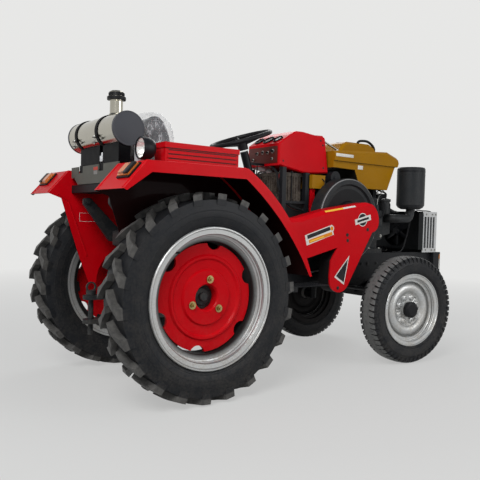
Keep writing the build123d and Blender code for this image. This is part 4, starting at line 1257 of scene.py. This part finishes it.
# %% Engine fittings
fasteners, fittings = bmesh.new(), bmesh.new()
bolts(fasteners, -leftward, 0.007, 0.006, [(x, -0.160, z) for x, z in (
    (1.075, 0.745), (1.075, 0.900), (1.130, 1.055), (1.250, 1.068), (1.390, 1.068),
    (1.430, 0.770), (1.560, 0.775), (1.640, 0.785), (1.640, 1.015), (1.500, 1.015),
)])
bolts(fasteners, leftward, 0.007, 0.006, [(x, 0.175, z) for x, z in (
    (1.105, 0.790), (1.105, 0.925), (1.190, 1.012), (1.290, 1.012), (1.372, 1.000),
    (1.380, 0.830), (1.300, 0.765), (1.190, 0.775),
)])
for side in (1, -1):
    # The feet, then the cylinder head: studs round its front face and nuts on its cover.
    bolts(fasteners, up, 0.008, 0.007, [(x, 0.162 * side, 0.700) for x in (1.10, 1.24, 1.38, 1.52, 1.62)])
    bolts(fasteners, ahead, 0.009, 0.010, [(1.758, 0.105 * side, z) for z in (0.825, 0.985)])
    bolts(fasteners, up, 0.009, 0.012, [(1.700, 0.070 * side, 1.075)])
# The breather.
spun(fittings, upright(1.560, -0.060, 1.035), (
    (0.026, 0), (0.026, 0.012), (0.030, 0.014), (0.030, 0.028), (0.024, 0.034), (0, 0.034),
), 28)
# The injection pump on the engine's right, behind the flywheel's rim, with its delivery valve.
boxes(fittings, 0.006, ((1.560, -0.186, 0.905), (0.070, 0.050, 0.100)))
rod(fittings, at(1.560, -0.190, 0.950), at(1.560, -0.190, 0.992), 0.016, 20, 0.011)
rod(fittings, at(1.530, -0.205, 0.900), at(1.502, -0.205, 0.900), 0.010, 16)
# The fuel filter's bowl.
spun(fittings, upright(1.640, -0.195, 0.985), (
    (0, -0.055), (0.024, -0.050), (0.028, -0.040), (0.028, 0.030), (0.034, 0.032),
    (0.034, 0.048), (0.010, 0.054), (0, 0.054),
), 28)
boxes(fittings, 0.003, ((1.640, -0.172, 1.022), (0.040, 0.030, 0.020)))
# The oil filter on the block's right face.
rod(fittings, at(1.470, -0.158, 0.800), at(1.470, -0.215, 0.800), 0.034, 28)
rod(fittings, at(1.470, -0.213, 0.800), at(1.470, -0.220, 0.800), 0.028, 28, 0.020)
piece("engine_bolts", fasteners, bright)
piece("engine_fittings", fittings, dark_iron)
pipe(
    "injector_line", bright, 0.0032, (1.560, -0.190, 0.990), (1.566, -0.192, 1.035),
    (1.620, -0.170, 1.070), (1.690, -0.100, 1.095), (1.712, -0.055, 1.088),
    (1.715, -0.050, 1.072),
)
pipe(
    "leak_line", hose_rubber, 0.0035, (1.715, -0.030, 1.074), (1.725, -0.030, 1.100),
    (1.690, -0.090, 1.112), (1.655, -0.170, 1.080), (1.645, -0.192, 1.036),
)
pipe(
    "feed_line", hose_rubber, 0.0050, (1.640, -0.120, 1.100), (1.636, -0.160, 1.085),
    (1.640, -0.196, 1.070), (1.640, -0.195, 1.038),
)
pipe(
    "filter_line", hose_rubber, 0.0045, (1.612, -0.200, 1.020), (1.590, -0.222, 0.985),
    (1.585, -0.226, 0.930), (1.570, -0.212, 0.905),
)
pipe(
    "oil_line", bright, 0.0035, (1.470, -0.170, 0.835), (1.480, -0.186, 0.860),
    (1.515, -0.182, 0.870), (1.530, -0.166, 0.860), (1.540, -0.158, 0.845),
)
pipe(
    "top_hose", black_rubber, 0.021, (1.745, 0.060, 1.030), (1.800, 0.060, 1.045),
    (1.880, 0.050, 1.020), (1.950, 0.040, 0.972), (2.030, 0.040, 0.945), (2.052, 0.040, 0.944),
)
pipe(
    "bottom_hose", black_rubber, 0.020, (1.755, 0.090, 0.830), (1.800, 0.095, 0.800),
    (1.860, 0.110, 0.720), (1.940, 0.120, 0.684), (2.045, 0.120, 0.684),
)
pipe(
    "overflow_pipe", hose_rubber, 0.004, (2.150, -0.060, 0.974), (2.180, -0.090, 0.972),
    (2.214, -0.150, 0.960), (2.2165, -0.175, 0.900), (2.2165, -0.182, 0.720),
)
pipe(
    "lamp_wire", hose_rubber, 0.0045, (2.040, -0.150, 0.965), (1.985, -0.165, 0.960),
    (1.940, -0.175, 0.900), (1.900, -0.170, 0.760), (1.850, -0.170, 0.680),
    (1.760, -0.165, 0.674),
)
pipe(
    "throttle_cable", hose_rubber, 0.0035, (0.980, -0.140, 1.160), (1.060, -0.196, 1.120),
    (1.060, -0.190, 1.062), (1.300, -0.165, 1.090), (1.480, -0.160, 1.020),
    (1.530, -0.205, 0.918),
)
clips = bmesh.new()
for x, left, z, radius, way in (
    (1.757, 0.060, 1.034, 0.0235, (1, 0, 0.2)), (2.036, 0.040, 0.944, 0.0235, ahead),
    (1.764, 0.091, 0.824, 0.0225, (1, 0, -0.5)), (2.026, 0.120, 0.684, 0.0225, ahead),
):
    half = Vector(way).normalized() * 0.006
    rod(clips, at(x, left, z) - half, at(x, left, z) + half, radius, 32)
piece("hose_clips", clips, bright)
print("bolts, pump, filters, ten pipes and hoses, and four clips")

# %% [markdown]
# ## Fan and radiator
# A pressed fan stands in the radiator's shroud. Its blades are flat plates, twisted a little
# and set round a hub by one rotation each.

# %% Fan, cap and bolts
fan_frame = facing(at(2.018, 0, 0.820), -ahead)
fan = bmesh.new()
spun(fan, fan_frame, (
    (0, 0.020), (0.020, 0.020), (0.026, 0.014), (0.030, 0.004), (0.030, -0.012), (0, -0.012)
))
for angle in around(6):
    blade = turned(fan_frame, angle) @ Matrix.Rotation(radians(28), 4, "X")
    spot = on_wheel(fan_frame, 0.064, angle, 0.002)
    box(fan, spot, (0.078, 0.046, 0.0018), blade, 0.0006, 1)
piece("fan", fan, black_paint)
cap = bmesh.new()
spun(cap, upright(2.126, -0.060, 0.984), (
    (0.026, -0.003), (0.030, -0.002), (0.030, 0.006), (0.027, 0.009), (0.012, 0.0115), (0, 0.0115)
), 36)
for angle in around(2):
    box(cap, at(2.126, -0.060, 0.990), (0.066, 0.010, 0.006), Matrix.Rotation(angle, 4, "Z"), 0.002)
piece("radiator_cap", cap, bright)
bracket_bolts = bmesh.new()
for side in (-1, 1):
    bolts(bracket_bolts, leftward * side, 0.005, 0.004, [
        (x, 0.2 * side, z) for x in (2.050, 2.090, 2.160, 2.200) for z in (0.943, 0.686)
    ])
piece("radiator_bolts", bracket_bolts, bright)
print("fan of 6 blades, cap and bolts")

# %% [markdown]
# ## Air cleaner
# The oil-bath air cleaner is a rolled can. A bead runs round its lid, and a louvred ring lets
# the air in under the lid.

# %% Air cleaner's bands
can, can_radius = upright(1.850, -0.236, 0), 0.0940
bands = bmesh.new()
spun(bands, can, ((0.0935, 1.222), (0.0950, 1.224), (0.0950, 1.232), (0.0935, 1.234)), 56)
for angle in around(24):
    spot = on_wheel(can, can_radius, angle, 1.205)
    box(bands, spot, (0.002, 0.012, 0.004), turned(can, angle), 0.0008, 1)
piece("cleaner_bands", bands, black_paint)
print("a bead and 24 louvres on a can of radius", can_radius)

# %% [markdown]
# ## Belt guard
# The pressed guard wears blank stick-on shapes where the real one has printed ones: a slanted
# two-tone panel, a round badge with a ribbon, a long triangle and a stripe along the chamfer.
# Each is a plate about a millimetre thick. A triangle is a three-sided circle, sheared
# onto its corners by one matrix. Four dark bolts hold the guard.

# %% Decals and bolts on the guard
guard_face = -0.3830


def on_guard(x, height, proud=0.0):
    """A point on the guard's flat face, or a little proud of it."""
    return at(x, guard_face - proud, height)


def sticker(shape, x, height, proud, size, angle, soften=0.0004):
    """Add a thin plate on the guard's face, its front end lifted by an angle in degrees."""
    lift = Matrix.Rotation(radians(-angle), 4, "Y")
    box(shape, on_guard(x, height, proud), size, lift, soften, 1)


def disc(shape, x, height, radius, proud, segments):
    """Add a thin disc on the guard's face."""
    rod(shape, on_guard(x, height, -0.0002), on_guard(x, height, proud), radius, segments)


def triangle(shape, corners, out, scale=1.0):
    """Add a thin triangle on three corners of a flat side, scaled about its middle."""
    centre = sum(corners, Vector()) / 3
    first = (corners[0] - centre) * scale
    second = ((corners[1] - centre) * scale + first * 0.5) / sin(pi / 3)
    matrix = Matrix((-second, first, out)).transposed().to_4x4()
    matrix.translation = centre
    made = bmesh.ops.create_circle(shape, cap_ends=True, segments=3, radius=1, matrix=matrix)["verts"]
    grown = bmesh.ops.extrude_face_region(shape, geom=[made[0].link_faces[0]])["geom"]
    moved = [item for item in grown if isinstance(item, bmesh.types.BMVert)]
    bmesh.ops.translate(shape, verts=moved, vec=out)


cream, black, orange, yellow = bmesh.new(), bmesh.new(), bmesh.new(), bmesh.new()
sticker(cream, 0.848, 0.7935, 0.0003, (0.222, 0.0010, 0.060), 16.5)
sticker(black, 0.842, 0.8065, 0.0005, (0.186, 0.0012, 0.022), 16.5)
sticker(orange, 0.858, 0.7795, 0.0006, (0.190, 0.0012, 0.020), 15)
sticker(yellow, 0.830, 0.7705, 0.0009, (0.110, 0.0012, 0.008), 15)
disc(cream, 1.207, 0.888, 0.041, 0.0004, 40)
disc(black, 1.207, 0.888, 0.036, 0.0008, 40)
disc(orange, 1.207, 0.888, 0.012, 0.0011, 40)
disc(cream, 0.945, 0.832, 0.018, 0.0010, 24)
disc(orange, 0.945, 0.832, 0.012, 0.0014, 24)
sticker(cream, 1.210, 0.888, 0.0006, (0.142, 0.0014, 0.034), 14)
sticker(black, 1.210, 0.888, 0.0011, (0.104, 0.0010, 0.014), 14, 0.0003)
leg = [on_guard(1.099, 0.672), on_guard(0.977, 0.548), on_guard(1.060, 0.499)]
triangle(cream, leg, leftward * -0.0006)
triangle(black, leg, leftward * -0.0010, 0.80)
stripe = facing(at(1.031, -0.3722, 0.9494), Vector((-0.112, -0.7, 0.7)), Vector((1, 0, 0.16)))
for shape, along, length in ((yellow, -0.060, 0.150), (cream, 0.068, 0.106)):
    spot = stripe @ Vector((along, 0, 0.0003))
    box(shape, spot, (length, 0.013, 0.0010), turned(stripe), 0.0003, 1)
piece("decal_backs", cream, white_label)
piece("decal_dark_parts", black, black_paint)
piece("decal_orange_parts", orange, decal_orange)
piece("decal_yellow_parts", yellow, decal_yellow)
guard_bolts = bmesh.new()
for x, z in ((1.077, 0.795), (1.081, 0.762), (1.254, 0.829), (1.009, 0.482)):
    bolt(guard_bolts, on_guard(x, z), -leftward, 0.0062, 0.006, 1.7)
piece("guard_bolts", guard_bolts, dark_iron)
print("decals and 4 bolts on the guard")

# %% [markdown]
# ## Fenders, toolbox and tail lamps
# A pressed bead runs along each fender's edge and stiffens the sheet. It is a round bar, half
# sunk, along the crown's outline: straight, then a circular arc through three points. The
# tail lamps are moulded orange boxes in black frames on the rear slopes.

# %% Fender beads, toolbox and lamps
def arc_points(first, through, last, count):
    """Points on the circle through three (ahead, height) points, from first to last."""
    (ax, az), (bx, bz), (cx, cz) = first, through, last
    a, b, c = ax * ax + az * az, bx * bx + bz * bz, cx * cx + cz * cz
    double = 2 * (ax * (bz - cz) + bx * (cz - az) + cx * (az - bz))
    x = (a * (bz - cz) + b * (cz - az) + c * (az - bz)) / double
    z = (a * (cx - bx) + b * (ax - cx) + c * (bx - ax)) / double
    radius = hypot(ax - x, az - z)
    start, end = atan2(az - z, ax - x), atan2(cz - z, cx - x)
    turns = [start + (end - start) * i / count for i in range(count + 1)]
    return [(x + radius * cos(turn), z + radius * sin(turn)) for turn in turns]


def bead(shape, route, left, radius, segments):
    """Add a bar along (ahead, height) points at one distance from the centre line."""
    for (x, z), (next_x, next_z) in zip(route, route[1:]):
        rod(shape, at(x, left, z), at(next_x, left, next_z), radius, segments)


front_arc = arc_points((0.160, 1.110), (0.412, 0.895), (0.590, 0.585), 14)
sunk = 0.0025
crown_edge = [(x, z - sunk) for x, z in [(-0.472, 0.991), (-0.369, 1.1075)] + front_arc[:-1]]
wall_edge = ((-0.430, 0.985), (-0.372, 0.945), (-0.318, 0.800), (-0.262, 0.650))
beads, wall_beads = bmesh.new(), bmesh.new()
for side in (1, -1):
    bead(beads, crown_edge, 0.578 * side, 0.0075, 14)
    bead(beads, crown_edge, 0.322 * side, 0.0075, 14)
    bead(wall_beads, wall_edge, 0.2988 * side, 0.0038, 12)
piece("fender_beads", beads, red_paint, 60)
piece("fender_wall_beads", wall_beads, red_paint, 60)

# Painted shade: black strips fill four grooves in the toolbox's side and the gap under its lid.
box_piece("toolbox_groove_shade", black_rubber, *(
    ((0.0015, -0.4502, height), (0.380, 0.0016, 0.0035), 0)
    for height in (1.1205, 1.1410, 1.1610, 1.1805)
), ((0.0015, -0.4515, 1.1885), (0.410, 0.0040, 0.0030), 0))
# A blank frame on the left fender's inner wall, and a blank label on the rear plate.
box_piece(
    "fender_label", white_label, ((-0.260, 0.2996, 0.838), (0.094, 0.0010, 0.0016), 0),
    ((-0.260, 0.2996, 0.884), (0.094, 0.0010, 0.0016), 0),
    ((-0.307, 0.2996, 0.861), (0.0016, 0.0010, 0.046), 0),
    ((-0.213, 0.2996, 0.861), (0.0016, 0.0010, 0.046), 0),
)
box_piece("plate_label_band", decal_red, ((-0.3604, -0.030, 1.1045), (0.0010, 0.050, 0.016), 0))
box_piece("plate_label", label_grey, ((-0.3604, -0.030, 1.0850), (0.0010, 0.044, 0.018), 0))

# Each tail lamp has a black block over one side, which is painted shade on that side of the lamp.
frames, dark, screws = bmesh.new(), bmesh.new(), bmesh.new()
for side in (1, -1):
    lamp = facing(at(-0.410, 0.505 * side, 1.06455), Vector((-125, 0, 110)), leftward)
    for shape, spot, size in (
        (frames, (-0.0555, 0, 0.004), (0.006, 0.088, 0.009)),
        (frames, (0.0555, 0, 0.004), (0.006, 0.088, 0.009)),
        (frames, (0, -0.041, 0.004), (0.117, 0.006, 0.009)),
        (frames, (0, 0.041, 0.004), (0.117, 0.006, 0.009)),
        (dark, (0.0290 * side, 0, 0.0190), (0.038, 0.066, 0.0105)),
    ):
        box(shape, lamp @ Vector(spot), size, turned(lamp), 0.0015)
    for along in (-0.026, 0.026):
        foot, top = (lamp @ Vector((-0.004 * side, along, lift)) for lift in (0.0215, 0.0245))
        rod(screws, foot, top, 0.0032, 14)
piece("tail_lamp_frames", frames, black_rubber)
piece("tail_lamp_side_shade", dark, black_paint)
piece("tail_lamp_screws", screws, bright)
print("beads, grooves, labels and lamp frames;", len(front_arc), "points on a fender's arc")

# %% [markdown]
# ## Driver's controls
# The steering wheel has a domed cap on its hub. Pedal pads and footboards carry rubber or
# rolled ribs, so that a muddy boot holds. Each gear lever comes out of a ringed rubber boot
# and ends in a round knob. The battery's filler plugs are set here too.

# %% Steering hub, pedals, levers, footboards and plugs
column_lean = radians(19.5)
column_way = Vector((-sin(column_lean), 0, cos(column_lean)))
round_piece(
    "steering_hub_cap", black_rubber, facing(at(0.555, 0, 1.345), column_way, ahead), 40,
    (0.0305, -0.022), (0.0315, -0.016), (0.028, -0.009), (0.016, -0.005), (0, -0.004),
    round_over=60, body="steering_wheel",
)
pads, ribs = bmesh.new(), bmesh.new()
for side in (1, -1):
    boxes(pads, 0.002, ((0.735, 0.243 * side, 0.6465), (0.052, 0.076, 0.006)))
    for row in range(5):
        spot = at(0.717 + row * 0.009, 0.243 * side, 0.6500)
        box(pads, spot, (0.004, 0.066, 0.003), None, 0.001, 1)
    for row in range(6):
        spot = at(0.710, (0.282 + row * 0.024) * side, 0.5098)
        box(ribs, spot, (0.350, 0.007, 0.004), None, 0.0012, 1)
piece("pedal_pads", pads, black_rubber)
boots, lever_knobs = bmesh.new(), bmesh.new()
for x, left, lean in ((0.440, -0.060, -0.030), (0.490, 0.060, 0.030)):
    foot, head = at(x, left, 0.655), at(x + lean, left + lean, 0.990)
    folds = [(0.034, -0.012)]
    for fold in range(5):
        folds += [(0.031 - fold * 0.0035, fold * 0.011), (0.026 - fold * 0.0035, fold * 0.011 + 0.006)]
    spun(boots, facing(foot, head - foot, ahead), folds + [(0.0095, 0.056)])
    bmesh.ops.create_uvsphere(
        lever_knobs, u_segments=24, v_segments=14, radius=0.0235,
        matrix=Matrix.Translation(head + up * 0.016),
    )
piece("lever_boots", boots, black_rubber, 60)
piece("lever_knobs", lever_knobs, black_rubber, 180)
piece("footboard_ribs", ribs, black_paint)
plugs = bmesh.new()
for left in (-0.108, -0.072, -0.036, 0.000, 0.036, 0.066):
    rod(plugs, at(0.893, left, 1.1595), at(0.893, left, 1.1665), 0.0105, 20)
piece("battery_plugs", plugs, black_rubber)
print("pads, boots, knobs, ribs and battery plugs")

# %% [markdown]
# ## Driveline and front axle
# The castings are bolted together along their flanges. The power take-off ends in splines,
# which are six keys set round its shaft, and pins cross the lift arms' eyes. A brake rod runs
# from the right pedal to a bracket on the rail. The muffler's seams, the flywheel's bolts and
# the front box's reflector finish the machine.

# %% Bolts, splines, pins and rods
casting_bolts = bmesh.new()
for side in (1, -1):
    outward = leftward * side
    for z in (0.400, 0.470, 0.540, 0.610):
        bolt(casting_bolts, at(0.445, 0.1345 * side, z), ahead, 0.0050, 0.006, 1.3)
    for way, across, high, spots in (
        (-outward, 0.007, 0.006, [
            (0.082 * cos(angle), 0.328 * side, 0.4975 + 0.082 * sin(angle))
            for angle in around(8, pi / 8)
        ]),
        (-ahead, 0.008, 0.007, [(-0.150, 0.095 * side, z) for z in (0.500, 0.560, 0.620)]),
        (up, 0.007, 0.006, [(x, 0.078 * side, 0.810) for x in (-0.120, 0.095)]),
        (outward, 0.009, 0.008, [
            (x, 0.175 * side, 0.600) for x in (0.660, 0.725, 1.120, 1.280, 1.440, 1.500, 1.590, 2.120)
        ]),
        (-up, 0.008, 0.007, [(x, 0.148 * side, 0.488) for x in (1.505, 1.585)]),
    ):
        bolts(casting_bolts, way, across, high, spots)
bolt(casting_bolts, at(1.615, 0, 0.430), ahead, 0.0125, 0.009, 1.15)
bolt(casting_bolts, at(1.475, 0, 0.430), -ahead, 0.0125, 0.009, 1.15)
piece("casting_bolts", casting_bolts, dark_iron)

splines = bmesh.new()
shaft = facing(at(-0.208, 0, 0.590), -ahead)
for angle in around(6):
    spot = on_wheel(shaft, 0.0175, angle, 0)
    box(splines, spot, (0.0050, 0.0060, 0.050), turned(shaft, angle), 0.0008, 1)
piece("pto_splines", splines, polished_steel, body="pto_shaft")
pins = bmesh.new()
for side in (1, -1):
    for start, end, radius, segments in ((0.143, 0.181, 0.0085, 20), (0.139, 0.150, 0.0145, 24)):
        rod(pins, at(-0.325, start * side, 0.945), at(-0.325, end * side, 0.945), radius, segments)
piece("lift_pins", pins, dark_iron, body="lift_arms")
brake = bmesh.new()
rod(brake, at(0.700, -0.232, 0.604), at(0.905, -0.212, 0.560), 0.0055, 14)
rod(brake, at(0.905, -0.212, 0.560), at(1.090, -0.206, 0.575), 0.0055, 14)
boxes(
    brake, 0.002, ((0.702, -0.2320, 0.604), (0.030, 0.016, 0.018)),
    ((0.905, -0.2120, 0.560), (0.030, 0.016, 0.018)), ((1.088, -0.2060, 0.575), (0.030, 0.016, 0.018)),
    ((1.090, -0.1900, 0.575), (0.030, 0.032, 0.040)), ((0.905, -0.1930, 0.560), (0.022, 0.038, 0.022)),
)
piece("brake_rod", brake, aluminium)
stay = bmesh.new()
rod(stay, at(1.075, -0.200, 0.568), at(1.175, -0.182, 0.684), 0.0060, 14)
boxes(stay, 0.002, ((1.178, -0.1775, 0.688), (0.034, 0.020, 0.026)))
piece("governor_stay", stay, green_rod)
seams = bmesh.new()
pot = facing(at(1.450, 0.250, 0.930), ahead)
for along in (0.0, 0.030, 0.240, 0.268):
    spun(seams, pot, (
        (0.0575, along - 0.004), (0.0602, along - 0.002), (0.0602, along + 0.002),
        (0.0575, along + 0.004),
    ), 48)
piece("muffler_seams", seams, dark_iron)
pulley_bolts = bmesh.new()
pulley_face = at(1.210, -0.360, 0.885)
bolt_ring(pulley_bolts, facing(pulley_face, -leftward), 0.048, 0.0, 6, 0.007, 0.006)
bolt(pulley_bolts, pulley_face, -leftward, 0.016, 0.010, 1.3)
piece("flywheel_bolts", pulley_bolts, dark_iron, body="flywheel")
for name, finish, height, length in (
    ("corner_reflector", decal_orange, 0.638, 0.034),
    ("corner_reflector_pale", white_label, 0.582, 0.072),
):
    box_piece(name, finish, ((2.2505, -0.2053, height), (0.007, 0.0010, length), 0))
print("driveline's bolts, splines, pins and rods")
